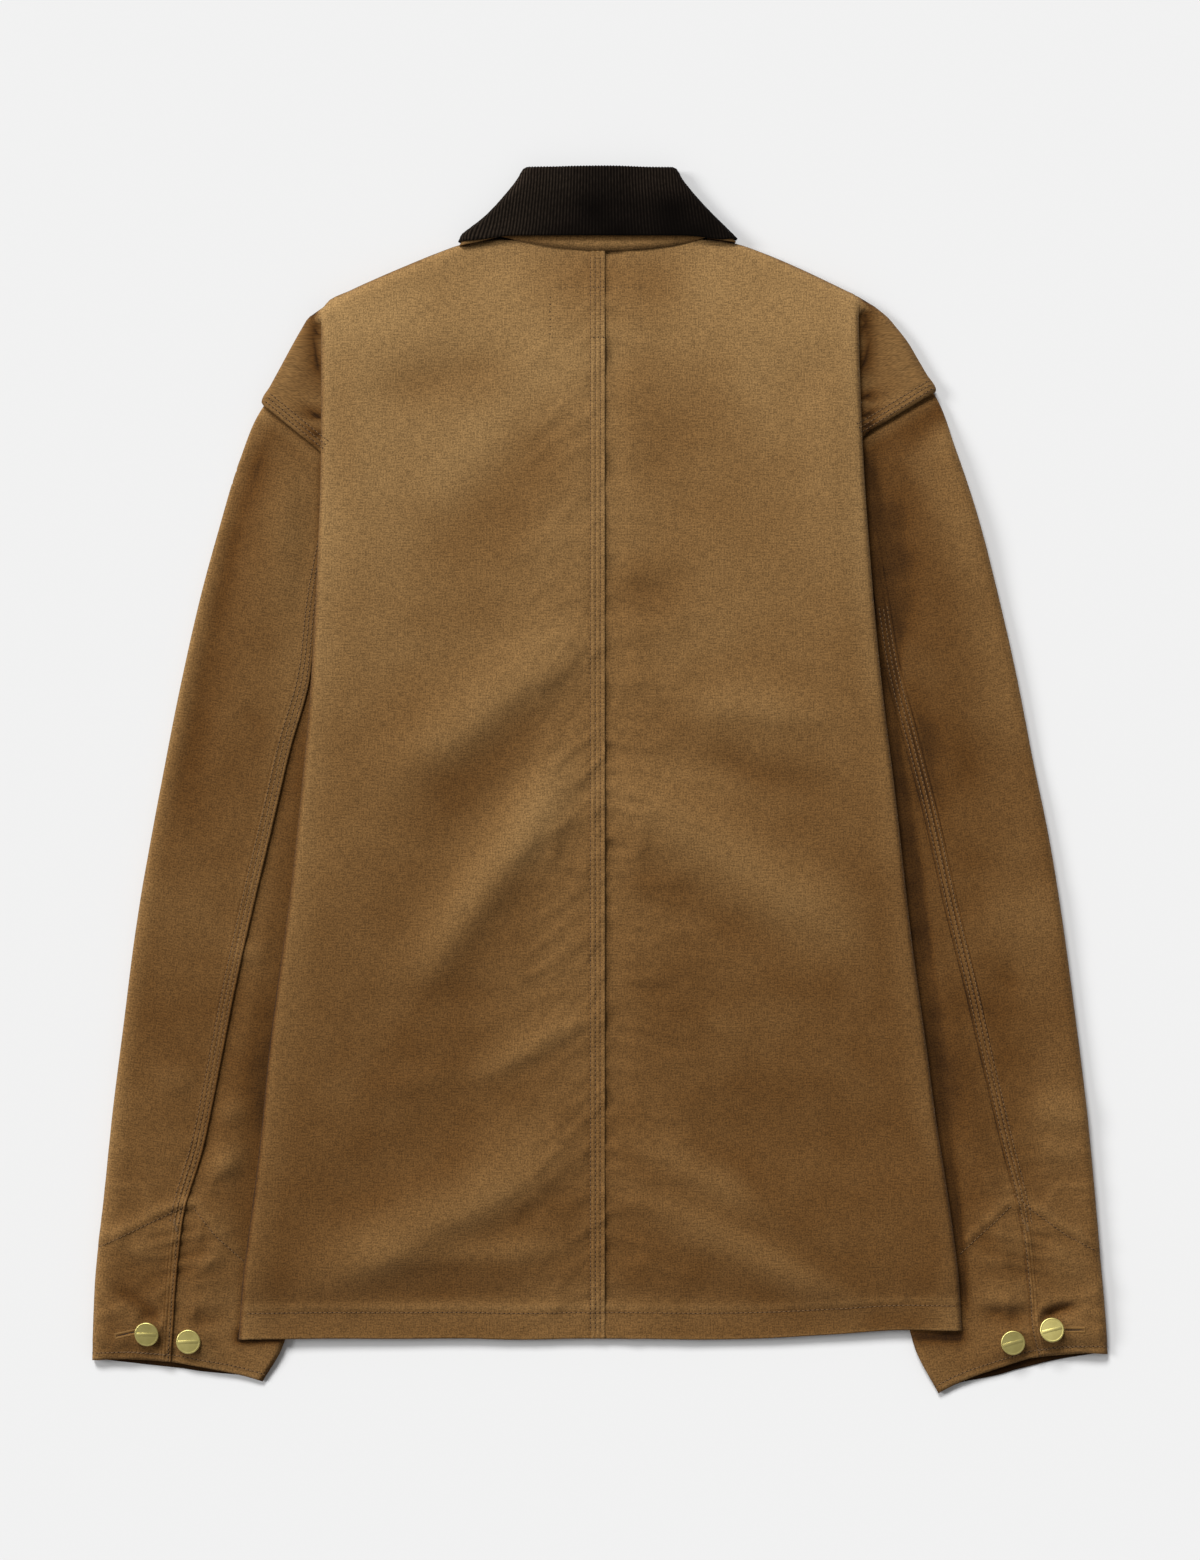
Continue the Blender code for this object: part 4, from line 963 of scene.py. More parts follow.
def hemRise(x, y):
    # the hem lies a little higher towards the right side
    lifted = body["hemLift"] * smoothstep(60, 240, x) + 0.9 * softNoise(x, 0 * x, 42, 51)
    return lifted * smoothstep(-300, body["hem"], y)


def warpHem(grid, side):
    grid[:, :, 1] += hemRise(mirrored(side, grid[:, :, 0]), grid[:, :, 1])
    return grid


def grooves(away, rows, depth=0.35):
    # the cloth drawn in under rows of stitches
    return sum(-depth * ridge(away - row, 0.6) for row in rows)


def lift(grid, height):
    grid = grid.copy()
    grid[:, :, 2] += height
    return grid


back = {
    "spacing": (2.7, 4.0),  # of the rows and columns of its grid
    "closerRows": [(0, 26, 1.3)],  # spacing near the hem, and beside the centre seam
    "closerColumns": {"left": [(0, 14, 0.8), (14, 48, 2.4)], "right": [(0, 40, 2.4)]},
    "folds": 1.7,  # gain on the heights of its folds
    "swell": 2.6,  # how far the chest stands up, and at which y
    "swellY": 170,
    "hemPress": 2.4,  # how much lower it lies at the hem
    "seamRows": (3.2, 6.5, 9.8),  # rows of stitching, from the lapped edge
    "armholeRows": (2.6, 5.6, 8.6),
    "hemRow": 1.2,  # from the top of the hem's band down to its stitches
    "stitchDepth": 0.5,
    "fellRise": 0.6,
    "rope": 21.5,  # how far above the hem the cloth ropes over the band's edge
    "creases": 1.9,  # height of the creases by the centre seam, and how they slant in degrees
    "creaseSlant": {"left": 40, "right": -12},
    # ripples by the centre seam: pitch, height, reach, slant, seed, width as a share of the pitch, and
    # how far from the seam they set in and are full
    "puckers": {
        "left": [(17, 2.2, 30, 0.8, 11, 0.15, 9, 16), (8, 0.9, 10, 0.4, 19, 0.2, 8.5, 11)],
        "right": [(24, 1.5, 26, -0.3, 12, 0.16, -1, 0), (8, 0.5, 8, 0.2, 29, 0.22, -1, 0)],
    },
}

# a label is sewn to the inside of the neck: its edges, and where its stitches stop before the centre seam
# and start again after it
label = {"left": -33.5, "right": 27.5, "low": 297, "high": 331, "stop": -8, "start": 4.4}


def backRelief(side, fine, upper, inside, relief):
    # what stands up from the smooth back, in millimetres
    x, y = fine[:, :, 0], fine[:, :, 1]
    signed = mirrored(side, x)
    fromHem = y - body["hem"]
    height = relief * inside
    height += (0.45 * softNoise(signed, y, 50, 5) + 0.16 * softNoise(signed, y, 15, 6)) * inside
    height += back["swell"] * inside * ridge(y - back["swellY"], 90)
    height -= back["hemPress"] * inside * smoothstep(90, 0, fromHem)
    away = fromCentreSeam(side, x)
    for *ripple, start, full in back["puckers"][side]:
        height += puckers(y, away, *ripple) * inside * smoothstep(start, full, away)
    if side == "left":
        height += back["fellRise"] * onFell(away) * inside
        height += grooves(away, back["seamRows"], back["stitchDepth"]) * inside
    nearSeam = smoothstep(95, 25, np.abs(x)) * (0.45 + 0.55 * smoothstep(120, 20, y))
    crumple = creases(signed, y, 14, 71, back["creaseSlant"][side], 2.2)
    height += (back["creases"] * nearSeam + 0.3) * crumple * inside
    tacked = [(label["left"], label["high"]), (label["left"], label["low"]),
              (label["right"], label["low"]), (label["right"], label["high"])]
    height -= 0.15 * ridge(distanceTo(tacked, signed, y), 1.4) * inside
    # the hem: a doubled band, its stitches, and the roped edge above them
    height += 0.35 * smoothstep(body["hemDepth"] + 1, body["hemDepth"] - 0.8, fromHem) * upper
    height += grooves(fromHem, [body["hemDepth"] - back["hemRow"]], 0.35) * upper
    height += puckers(x, np.abs(fromHem - 18), 11, 0.9, 11, 0.7, 13) * upper
    roped = 0.8 + 0.5 * softNoise(signed, 0 * y, 11, 53)
    height += roped * ridge(fromHem - back["rope"], 2.0) * upper
    away, high = fromArmhole(side, x, y), aboveFold(side, x, y)
    rows = grooves(away, back["armholeRows"], back["stitchDepth"])
    return height + (rows * high + 0.9 * high * smoothstep(10.8, 9.2, away))


def backFadeAndShade(side, fine, upper, share, relief):
    # painted light and shade, with uneven fading and a more worn felled seam: lighter high up, darker low
    # and in hollows
    x, y = fine[:, :, 0], fine[:, :, 1]
    signed = mirrored(side, x)
    fromHem = y - body["hem"]
    # painted light and shade: lighter towards the top, on high places and on the hem's band, darker
    # towards the hem and in hollows
    fadingAndShade = 0.24 + 0.5 * smoothstep(0, 300, y) - 0.2 * smoothstep(0, -300, y) + 0.05 * relief
    fadingAndShade += 0.16 * smoothstep(34, 10, fromHem)
    # uneven fading; painted light at the side folds and painted shade on the underside
    fadingAndShade += 0.1 * softNoise(signed, y, 80, 7) + 0.12 * smoothstep(0.88, 0.99, share) - 0.4 * (1 - upper)
    fadingAndShade += 0.12 * smoothstep(0.985, 1.0, share) * upper
    if side == "left":
        away = fromCentreSeam(side, x)
        # the felled band a little more worn, with painted shade in its stitch grooves
        fadingAndShade += 0.14 * onFell(away) + grooves(away, back["seamRows"], 0.18)
    hemRow = body["hemDepth"] - back["hemRow"]
    # painted light at the hem's edge and on the roped ridge, painted shade in the stitch groove
    fadingAndShade += 0.14 * smoothstep(3, 0, fromHem) + grooves(fromHem, [hemRow], 0.12)
    fadingAndShade += 0.08 * ridge(fromHem - back["rope"], 2.0)
    beyond = x - foldX(side, y)
    # painted shadow of the side fold on the shoulder beyond it
    fadingAndShade += (-0.6 * fading(beyond, 13) - 0.06 * smoothstep(14, 34, beyond)) * aboveFold(side, x, y)
    # painted light and shade along the back's folds, from the table
    fadingAndShade = (fadingAndShade + 0.27) * np.exp(folds(backLightAndShade, signed, y) - 0.04) - 0.27
    return np.where(upper > 0.5, np.maximum(fadingAndShade, 0.05), fadingAndShade)


def makeBack(side):
    fine = refine(backGrid(side), *back["spacing"], back["closerRows"], back["closerColumns"][side],
                  fromEnd=True)[0]
    x, y = fine[:, :, 0], fine[:, :, 1]
    share = np.clip(np.abs(x) / foldX(side, y), 0, 1)
    upper = smoothstep(0.15, 0.5, normalsOf(fine)[:, :, 2])
    upper = upper * smoothstep(9.5, 11.5, fine[:, :, 2] + 20 * (np.abs(x) < 120))
    inside = upper * (1 - smoothstep(0.86, 0.99, share))
    relief = back["folds"] * folds(backFolds, mirrored(side, x), y) * smoothstep(4, 34, y - body["hem"])
    fadingAndShade = backFadeAndShade(side, fine, upper, share, relief)
    fine = warpHem(lift(fine, backRelief(side, fine, upper, inside, relief)), side)
    clothPiece(f"back{side.title()}Panel", f"back_{side}", fine, "canvas", fadingAndShade,
               mirror=side == "left", byPlan=True)


front = {"spacing": (7.0, 6.0), "fadingAndShade": 0.3}


def makeFront(side):
    fine = warpHem(refine(frontGrid(side), *front["spacing"])[0], side)
    fadingAndShade = np.full(fine.shape[:2], front["fadingAndShade"])
    clothPiece(f"front{side.title()}Panel", f"front_{side}", fine, "canvas", fadingAndShade,
               mirror=side == "left", byPlan=True)


# creases of the sleeves, as on the back but with x from the centre line
sleeveFolds = {
    "left": [
        (236, 236, 262, 120, -2.2, 12, 12), (255, 130, 275, 0, -1.4, 12, 12),
        (212, 214, 226, 110, 1.0, 14, 14), (216, -112, 246, -116, 1.0, 8, 6),
        (226, -222, 256, -224, 1.1, 8, 6), (230, -258, 262, -262, 2.0, 11, 6),
        (236, -298, 260, -304, 0.8, 6, 5), (326, -344, 294, -359, -1.6, 4.5, 4.5),
        (334, -352, 292, -368, 1.0, 9, 9), (310, -360, 296, -362, -1.4, 4, 4),
        (276, -367, 246, -360, -1.5, 6, 5), (262, -376, 246, -390, -1.0, 4, 4),
        (272, -378, 256, -396, 0.9, 5, 5), (330, -300, 296, -322, 0.9, 9, 6),
        (240, 48, 226, 36, -0.5, 5, 5), (300, -206, 276, -196, 0.7, 10, 10),
        (250, -310, 270, -330, 0.7, 6, 5), (262, -318, 284, -318, -0.6, 5, 5),
        (324, -60, 262, -90, 0.6, 18, 18), (316, 10, 252, -20, -0.6, 20, 20),
    ],
    "right": [
        (196, 200, 210, 90, -1.2, 12, 16), (238, 236, 262, 140, 1.0, 14, 14),
        (212, 60, 226, -40, -0.8, 12, 12), (268, -126, 282, -140, -0.7, 6, 6),
        (290, -222, 330, -226, 1.0, 12, 10), (296, -246, 322, -254, 0.7, 7, 6),
        (252, -357, 286, -364, -1.5, 6, 5), (298, -361, 322, -353, -2.4, 3.5, 3.5),
        (250, -348, 286, -352, 1.4, 8, 6), (296, -318, 326, -330, 0.8, 8, 7),
        (270, -300, 292, -322, 0.7, 6, 5), (250, -300, 262, -316, -0.6, 5, 5),
        (330, -370, 296, -374, 0.6, 9, 9), (256, -84, 320, -104, 0.6, 18, 18),
        (240, 20, 300, 0, -0.6, 20, 20),
    ],
}
# lines of stitching that hold the facing inside the cuff, with a ridge of cloth above each
facing = {
    "left": [[(-279.5, -286.9), (-336.6, -313.9)],
             [(-273.8, -287.3), (-258.2, -306.7), (-240.1, -323.5)]],
    "right": [[(276.8, -286.2), (242.6, -318.6)],
              [(278.1, -277.9), (290.9, -289.6), (313.0, -305.7), (332.1, -315.9)]],
}
sleeveLook = {
    "lean": 10.0,  # degrees from the body's length to the sleeve's
    "spacing": (3.0, 3.4),
    "closerRows": [(0, 120, 2.2)],
    "closerColumns": {"top": [(0, 12, 0.8)], "under": [(6, 13, 0.8), (29, 37, 0.9), (13, 29, 2.6)]},
    "folds": 2.3,  # gain on the heights of its folds
    "lumpSeed": {"left": 12, "right": 13},
    "elbowRows": (2.4, 5.7, 8.8),
    "elbowRowsEnd": {"left": 400, "right": 118},  # above this the body covers them
    "cuffRow": 5.0,
    "cuffCreases": 2.2,
    "bow": {"left": 1.1, "right": 1.7},  # how far the cuff's edge bows out in the middle
    "ply": {"left": 1.2, "right": 2.6},  # how much further the lower ply comes out
}


def sleeveRelief(side, half, fine, along, across, upper, free):
    # what stands up from the smooth sleeve, in millimetres
    x, y = fine[:, :, 0], fine[:, :, 1]
    signed = mirrored(side, x)
    fromCuff = along[-1] - along
    lumps = sleeveLook["lumpSeed"][side]
    height = (sleeveLook["folds"] * folds(sleeveFolds[side], x, y) + 0.4 * softNoise(x, y, 40, lumps)
              + 0.14 * softNoise(x, y, 13, 9)) * free
    for line in facing[side]:
        away = distanceTo(line, signed, y)
        xs, ys = zip(*sorted(line))
        above = smoothstep(-1, 1, y - np.interp(signed, xs, ys))
        near = upper * smoothstep(1, 9, beyondBody(side, x, y))
        height += (-0.3 * ridge(away, 0.9) + 1.7 * above * ridge(away - 3.8, 2.2)) * near
    crumple = sleeveLook["cuffCreases"] * creases(x, y, 14, 61, -8, 2.0)
    height += crumple * free * smoothstep(-190, -300, y)
    height += 0.5 * creases(x, y, 22, 63, 6, 2.2) * free
    # ripples beside the top of the vent
    near = fading(x - 284, 20) * smoothstep(-282, -296, y) * smoothstep(-346, -326, y)
    height += 0.6 * np.sin(math.tau * (y + 0.2 * x + 5 * softNoise(x, y, 22, 21)) / 10.5) * near * free
    if half == "top":
        rows = grooves(across, sleeveLook["elbowRows"], 0.45)
        height += (0.5 * smoothstep(11, 9.2, across) + rows) * free
        height += puckers(along, across, 13, 0.5, 13, 0.5, 14) * free * smoothstep(9, 12, across)
    else:
        height += puckers(along, np.abs(across - cloth["fell"]), 11, 0.6, 12, 0.2, 15) * free
    rows = grooves(fromCuff, [sleeveLook["cuffRow"]], 0.3)
    height += (0.3 * smoothstep(6.6, 5.4, fromCuff) + rows) * upper
    return height + puckers(across, np.abs(fromCuff - 5), 8, 0.25, 8, 0.4, 16) * free


def shapeCuff(side, fine, upper, x, fromCuff):
    # the cuff bows a little, its inner corner lies low, and the lower ply shows below it
    fine[:, :, 2] *= 1 - 0.4 * smoothstep(16, 0, fromCuff)
    run = fine[-1] - fine[-4]
    run /= np.linalg.norm(run, axis=1, keepdims=True)
    near = smoothstep(34, 0, fromCuff)
    bow = sleeveLook["bow"][side] * fading(x - 266, 24)
    under = 3.2 * np.sin(np.pi * np.clip((x - 243) / 94, 0, 1)) ** 0.8
    under += sleeveLook["ply"][side] * fading(x - 272, 28)
    fine[:, :, 2] -= 0.5 * smoothstep(262, 234, x) * near * np.maximum(fine[:, :, 2] - 1.6, 0)
    return fine + run[None] * ((bow + (1 - upper) * under) * near)[:, :, None]


def leftSleeveLightAndShade(half, x, y, fromBody):
    # painted light along its outer fold and on the top half near the body; painted shade in a line below
    # the armhole, beside the body and where the body lies on the under half; lighter at the cuff
    fromFold = distanceTo([section[:2] for section in sleeveSections["left"]], x, y)
    fadingAndShade = (0.1 + (0.2 + 0.12 * smoothstep(-60, 60, y)) * smoothstep(14, 0, fromFold)
            - 0.08 * fading(x - 229, 9) * smoothstep(110, 160, y))
    if half == "top":
        fadingAndShade += 0.16 * smoothstep(34, 12, fromBody) * smoothstep(235, 200, y)
    else:
        fadingAndShade -= (0.02 + 0.06 * smoothstep(20, 8, fromBody)) * smoothstep(-335, -300, y)
        fadingAndShade += 0.1 * smoothstep(-330, -350, y)
    return fadingAndShade - 0.2 * fading(fromBody, 3)


def rightSleeveShadow(half, y, fromBody):
    # painted shadow of the body: darker along the body over a strip that narrows towards the armhole,
    # lighter further out; lighter at the cuff and on the under half
    lower = smoothstep(40, -20, y)
    ys = [100, 175, 210, 240]
    start, end = np.interp(y, ys, [44, 36, 25, 14]), np.interp(y, ys, [86, 62, 40, 28])
    outer = smoothstep(0, 1, (fromBody - start) / (end - start))
    fadingAndShade = (0.01 - 0.04 * lower + 0.06 * lower * smoothstep(14, 44, fromBody)
            + (0.2 - 0.09 * lower + 0.16 * smoothstep(208, 236, y)) * outer)
    return fadingAndShade + (0.1 * smoothstep(-310, -350, y) + (0.04 if half == "under" else 0))


def sleeveFadeAndShade(side, half, fine, across, fromCuff, facingUp, upper, free, height):
    x, y = fine[:, :, 0], fine[:, :, 1]
    fromBody = beyondBody(side, x, y)
    fadingAndShade = leftSleeveLightAndShade(half, x, y, fromBody) if side == "left" else rightSleeveShadow(half, y, fromBody)
    # painted light on the rolled edges
    fadingAndShade += 0.2 * smoothstep(0.8, 0.35, facingUp) * smoothstep(-0.6, 0.0, facingUp)
    fadingAndShade = np.maximum(fadingAndShade, 0)
    # painted shadow below the hem's corner
    fadingAndShade -= 0.3 * fading(body["hem"] + 2 - y, 6) * smoothstep(252, 240, x)
    # painted light on high places and painted shade in hollows, uneven fading, lighter at the cuff's edge
    fadingAndShade += 0.04 * height + 0.08 * softNoise(x, y, 60, 17) + 0.12 * smoothstep(4, 0, fromCuff) * upper
    # painted light beside the armhole seam
    fadingAndShade += 0.16 * smoothstep(12, 3, fromArmhole(side, x, y)) * upper
    # painted shadow of the body's side fold on the right sleeve
    if side == "right":
        wide = np.interp(y, [-340, -250, -150, -60, 20, 60, 100, 175, 210, 240],
                         [7, 10, 14, 14, 9, 12, 20, 17, 8, -6])
        bodyShadow = smoothstep(wide + 2.5, wide - 2.5, fromBody) * smoothstep(-376, -340, y)
        fadingAndShade += (-0.07 - fadingAndShade) * bodyShadow
    # painted shade beside a lapped edge, in the stitch grooves and on the lower ply under the cuff; the
    # felled band a little lighter
    if half == "top":
        fadingAndShade -= 0.15 * fading(across, 0.9) * free
        felled = 0.1 * smoothstep(11, 9.2, across) * smoothstep(0.5, 1.6, across)
        fadingAndShade += (felled + grooves(across, sleeveLook["elbowRows"], 0.2)) * free
    return fadingAndShade - 0.6 * (1 - upper) * smoothstep(30, 10, fromCuff)


def makeSleeve(side, half):
    fine, along, across = refine(sleeveGrid(side, half), *sleeveLook["spacing"], sleeveLook["closerRows"],
                                 sleeveLook["closerColumns"][half], fromEnd=True)
    x, y = fine[:, :, 0], fine[:, :, 1]
    facingUp = normalsOf(fine)[:, :, 2] * (1 if half == "top" else -1)
    upper = smoothstep(0.1, 0.6, facingUp)
    free = upper * smoothstep(2, 26, beyondBody(side, x, y)) * smoothstep(0, 16, along)
    fromCuff = along[-1] - along
    height = sleeveRelief(side, half, fine, along, across, upper, free)
    fadingAndShade = sleeveFadeAndShade(side, half, fine, across, fromCuff, facingUp, upper, free, height)
    fine = shapeCuff(side, lift(fine, height), upper, x, fromCuff)
    lean = math.radians(sleeveLook["lean"])
    name, cut = f"sleeve{side.title()}{half.title()}", f"sleeve{half.title()}"
    clothPiece(name, f"sleeve_{side}_{half}", fine, "canvas", fadingAndShade, mirror=side == "left",
               across=x * math.cos(lean) + y * math.sin(lean),
               down=x * math.sin(lean) - y * math.cos(lean))


for side in ("left", "right"):
    makeBack(side)
    makeFront(side)
    for half in ("top", "under"):
        makeSleeve(side, half)
print("panels laid")


collar = {
    "spacing": (2.6, 0.42),  # of the upper collar's rows and columns, close enough for its wales
    "underSpacing": (2.6, 2.6),
    "ribs": 0.34,  # height of a wale, and how much higher it stands over the roll
    "rollRibs": 0.2,
    "proud": 2.2,  # how far the canvas underneath stands out at the ends of the fall
}


def collarEnds(grid, proud):
    # the left end of the fall sags over the shoulder, and the canvas under it stands proud at both ends
    x, y = grid[:, :, 0], grid[:, :, 1]
    falling = smoothstep(384, 364, y)
    left, right = smoothstep(-66, -94, x) * falling, smoothstep(78, 94, x) * falling
    blunt = smoothstep(369, 362.5, y) * smoothstep(-82, -94, x)
    raised = 2.6 * smoothstep(373, 363, y) * (1 - smoothstep(58, 84, np.abs(x)))
    grid = grid.copy()
    grid[:, :, 0] += -(5.0 + 0.4 * proud) * left + 3.4 * blunt + (proud * 0.4 - 1.2) * right
    grid[:, :, 1] += raised - (0.6 + 1.2 * proud) * left + (1.2 - proud * 0.9) * right
    return grid


def makeCollar():
    fine = refine(collarGrid(upperRings), *collar["spacing"])[0]
    x, y = fine[:, :, 0], fine[:, :, 1]
    run = runAlong(fine, 1)
    reach = run[:, fine.shape[1] // 2, None]
    run = (run - reach) * (reach.mean() / reach) ** 0.3
    ribs = collar["ribs"] + collar["rollRibs"] * smoothstep(402, 409, y)
    ribs = ribs * (np.abs(np.cos(math.pi * run / wale)) - 0.5)
    ribs += 0.35 * softNoise(x, y, 22, 41) * smoothstep(360, 380, y)
    fine = collarEnds(fine + normalsOf(fine) * ribs[:, :, None], 0.0)
    # lighter towards the left end and over the roll, in uneven patches
    fadingAndShade = 0.5 * smoothstep(10, -85, x) + 0.3 * smoothstep(384, 404, y) + 0.1 * softNoise(x, y, 18, 43)
    clothPiece("collarUpper", "collar_upper", fine, "corduroy", fadingAndShade, across=run)
    fine = collarEnds(refine(underCollarGrid(), *collar["underSpacing"])[0], collar["proud"])
    # painted shade: darker past y 361 to 368, where it lies under the fall
    fadingAndShade = 0.42 - 0.3 * smoothstep(361, 368, fine[:, :, 1])
    clothPiece("collarUnder", "collar_under", fine, "canvas", fadingAndShade, byPlan=True)


makeCollar()
print("collar laid")

# stitches, laid on the finished cloth
thread = {
    "length": 2.5,
    "pitch": 3.2,
    "radius": 0.3,
    "rise": 0.12,  # how far the middle of a stitch stands above the cloth
    "sink": 0.3,  # how far its ends go in
    "hole": 0.5,
    "armhole": {"pitch": 2.9, "length": 2.3},
    "edge": {"pitch": 2.9, "length": 2.2},  # of cuffs, vents and the collar's strip
    "ventTack": {"pitch": 0.55, "length": 2.4, "radius": 0.25},
    "neckTack": {"pitch": 2.6, "length": 1.9, "radius": 0.18},
    "labelEnd": {"pitch": 4.4, "length": 1.6, "radius": 0.14},
    "label": {"pitch": 2.6, "length": 1.9, "radius": 0.14},
}
backs = ["backLeftPanel", "backRightPanel"]


def treesOf(names):
    graph = bpy.context.evaluated_depsgraph_get()
    return [BVHTree.FromObject(pieces[name], graph) for name in names]


def land(trees, x, y):
    # where a plumb line at x, y in millimetres meets the highest of these pieces
    best = None
    for tree in trees:
        point, normal, _, _ = tree.ray_cast(Vector((x * mm, y * mm, 0.06)), Vector((0, 0, -1)))
        if point is not None and (best is None or point.z > best[0].z):
            best = (point, normal)
    return best


def resample(path, pitch):
    # points a pitch apart along a path, and which way it runs there
    path = np.asarray(path, float)
    run = np.concatenate([[0.0], np.cumsum(np.linalg.norm(np.diff(path, axis=0), axis=1))])
    count = max(1, int(run[-1] / pitch))
    at = (np.arange(count) + 0.5) * run[-1] / count
    middles, ahead, behind = (np.stack([np.interp(place, run, path[:, k]) for k in (0, 1)], axis=1)
                              for place in (at, at + 0.5, at - 0.5))
    ways = ahead - behind
    return middles, ways / np.linalg.norm(ways, axis=1, keepdims=True)


def circle(sides, first=0.0):
    # cosine and sine of each corner of a ring
    turns = [math.tau * (k + first) / sides for k in range(sides)]
    return [(math.cos(turn), math.sin(turn)) for turn in turns]


def tubeFaces(rings, sides):
    # the faces of a closed tube from its rings of points
    ends = [(i, (i + 1) % sides) for i in range(sides)]
    quads = [(base + i, base + after, base + sides + after, base + sides + i)
             for base in range(0, (rings - 1) * sides, sides) for i, after in ends]
    return quads + [tuple(range(sides))[::-1], tuple((rings - 1) * sides + i for i in range(sides))]


def solidThreads(name, centres, ways, normals, length, radius, finish):
    # short arched threads in one mesh, from rings: place along the thread, height, share of its thickness
    sink, rise = thread["sink"], thread["rise"]
    rings = [(-0.5, -sink, 0.5), (-0.3, 0.0, 0.95), (0.0, rise, 1.0), (0.3, 0.0, 0.95), (0.5, -sink, 0.5)]
    corners = circle(5, 0.5)
    pattern = tubeFaces(len(rings), len(corners))
    points, faces = [], []
    for centre, way, normal in zip(centres, ways, normals):
        faces += [tuple(len(points) + i for i in face) for face in pattern]
        aside = way.cross(normal).normalized()
        for place, rise, wide in rings:
            middle = centre + way * (place * length * mm) + normal * (rise * mm)
            points += [middle + (aside * c + normal * s) * (radius * mm) * wide for c, s in corners]
    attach(meshObject(name, points, faces, finish), "root")


def needleHoleShade(name, centres, normals):
    # painted shade: dark discs where the needle went in, a little above and below the cloth
    corners = circle(6)
    pattern = tubeFaces(2, len(corners))
    points, faces = [], []
    for centre, normal in zip(centres, normals):
        faces += [tuple(len(points) + i for i in face) for face in pattern]
        aside = normal.orthogonal().normalized()
        other = normal.cross(aside)
        for rise in (-0.2, 0.05):
            points += [centre + (aside * c + other * s) * thread["hole"] * mm + normal * rise * mm
                       for c, s in corners]
    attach(meshObject(name, points, faces, "hole", smooth=False), "root")


def stitch(name, paths, onto, turned=False, holes=True, finish="thread", pitch=thread["pitch"],
           length=thread["length"], radius=thread["radius"]):
    # rows of stitches along paths in plan, or across them where turned
    trees = treesOf(onto)
    centres, ways, normals, ends, endNormals = [], [], [], [], []
    for path in paths:
        middles, headings = resample(path, pitch)
        for (x, y), (dx, dy) in zip(middles, headings):
            hit = land(trees, x, y)
            if hit is None or hit[1].z < 0.2:
                continue
            point, normal = hit
            way = Vector((-dy, dx, 0)) if turned else Vector((dx, dy, 0))
            centres.append(point)
            ways.append((way - normal * way.dot(normal)).normalized())
            normals.append(normal)
            gap = land(trees, x + dx * pitch / 2, y + dy * pitch / 2)
            if gap is not None and gap[1].z > 0.2:
                ends.append(gap[0])
                endNormals.append(gap[1])
    solidThreads(name, centres, ways, normals, length, radius, finish)
    if holes:
        needleHoleShade(f"{name}HoleShade", ends, endNormals)


def columnAt(name, distance):
    # the grid column this far from the piece's first edge, as a path in plan
    grid, run = laid[name], runAlong(laid[name], 1)
    return np.array([[np.interp(distance, run[i], grid[i, :, k]) for k in (0, 1)]
                     for i in range(len(grid))])


def rowAt(name, distance):
    # the row this far from the piece's last edge, across the ply that faces up
    grid, run = laid[name], runAlong(laid[name], 0)
    row = np.array([[np.interp(run[-1, j] - distance, run[:, j], grid[:, j, k]) for k in (0, 1)]
                    for j in range(grid.shape[1])])
    turn = int((np.argmax if "Top" in name else np.argmin)(np.abs(row[:, 0])))
    return row[:turn + 1]


def sewCentre():
    edge, low, high = body["centreSeam"], label["low"], label["high"]
    rows = [[(edge - row, -372), (edge - row, 351)] for row in back["seamRows"]]
    stitch("stitchesCentreSeam", rows, backs)
    tacks = [[(edge - 10.5, y), (edge - 0.8, y)] for y in (high, low)]
    stitch("stitchesNeckTacks", tacks, backs, **thread["neckTack"])
    labelEnd = [(label["left"], high - 2), (label["left"], low + 2)]
    stitch("stitchesLabelEnd", [labelEnd], backs[:1], **thread["labelEnd"])
    rows = [[(label["left"], low), (label["stop"], low)], [(label["left"], high), (label["stop"], high)],
            [(label["start"], low), (label["right"], low), (label["right"], high), (label["start"], high)]]
    stitch("stitchesNeckLabel", rows, backs, holes=False, **thread["label"])


def sewHem():
    y = body["hem"] + body["hemDepth"] - back["hemRow"]
    stitch("stitchesHem", [[(x, y + hemRise(x, y)) for x in np.linspace(-238, 238, 80)]], backs)


def sewArmholes():
    paths = []
    for side, sign in (("left", -1), ("right", 1)):
        (ax, ay), (bx, by) = shoulder[side][-1], armhole[side]
        length = math.hypot(bx - ax, by - ay)
        inX, inY = (by - ay) / length, (ax - bx) / length
        for row in back["armholeRows"]:
            paths.append([(sign * (x + inX * row), y + inY * row) for x, y in ((ax, ay), (bx, by))])
    stitch("stitchesArmholes", paths, backs, **thread["armhole"])


def sewSleeve(side):
    name = side.title()
    top, under = f"sleeve{name}Top", f"sleeve{name}Under"
    vent, row = sleeve["ventTop"], sleeveLook["cuffRow"]
    paths = [columnAt(top, elbow) for elbow in sleeveLook["elbowRows"]]
    high = sleeveLook["elbowRowsEnd"][side]
    paths = [path[(path[:, 1] > vent + 2) & (path[:, 1] < high)] for path in paths]
    stitch(f"stitches{name}Elbow", paths, [top])
    ventEdge = columnAt(top, 2.0)
    paths = [ventEdge[ventEdge[:, 1] < vent - 2], rowAt(top, row), rowAt(under, row)] + facing[side]
    stitch(f"stitches{name}Cuff", paths, [top, under], **thread["edge"])
    middle = columnAt(top, 4.5)
    x, y = middle[np.argmin(np.abs(middle[:, 1] - vent))]
    stitch(f"stitches{name}VentTack", [[(x - 1, y + 4), (x + 1, y - 4)]], [top, under], turned=True,
           holes=False, **thread["ventTack"])


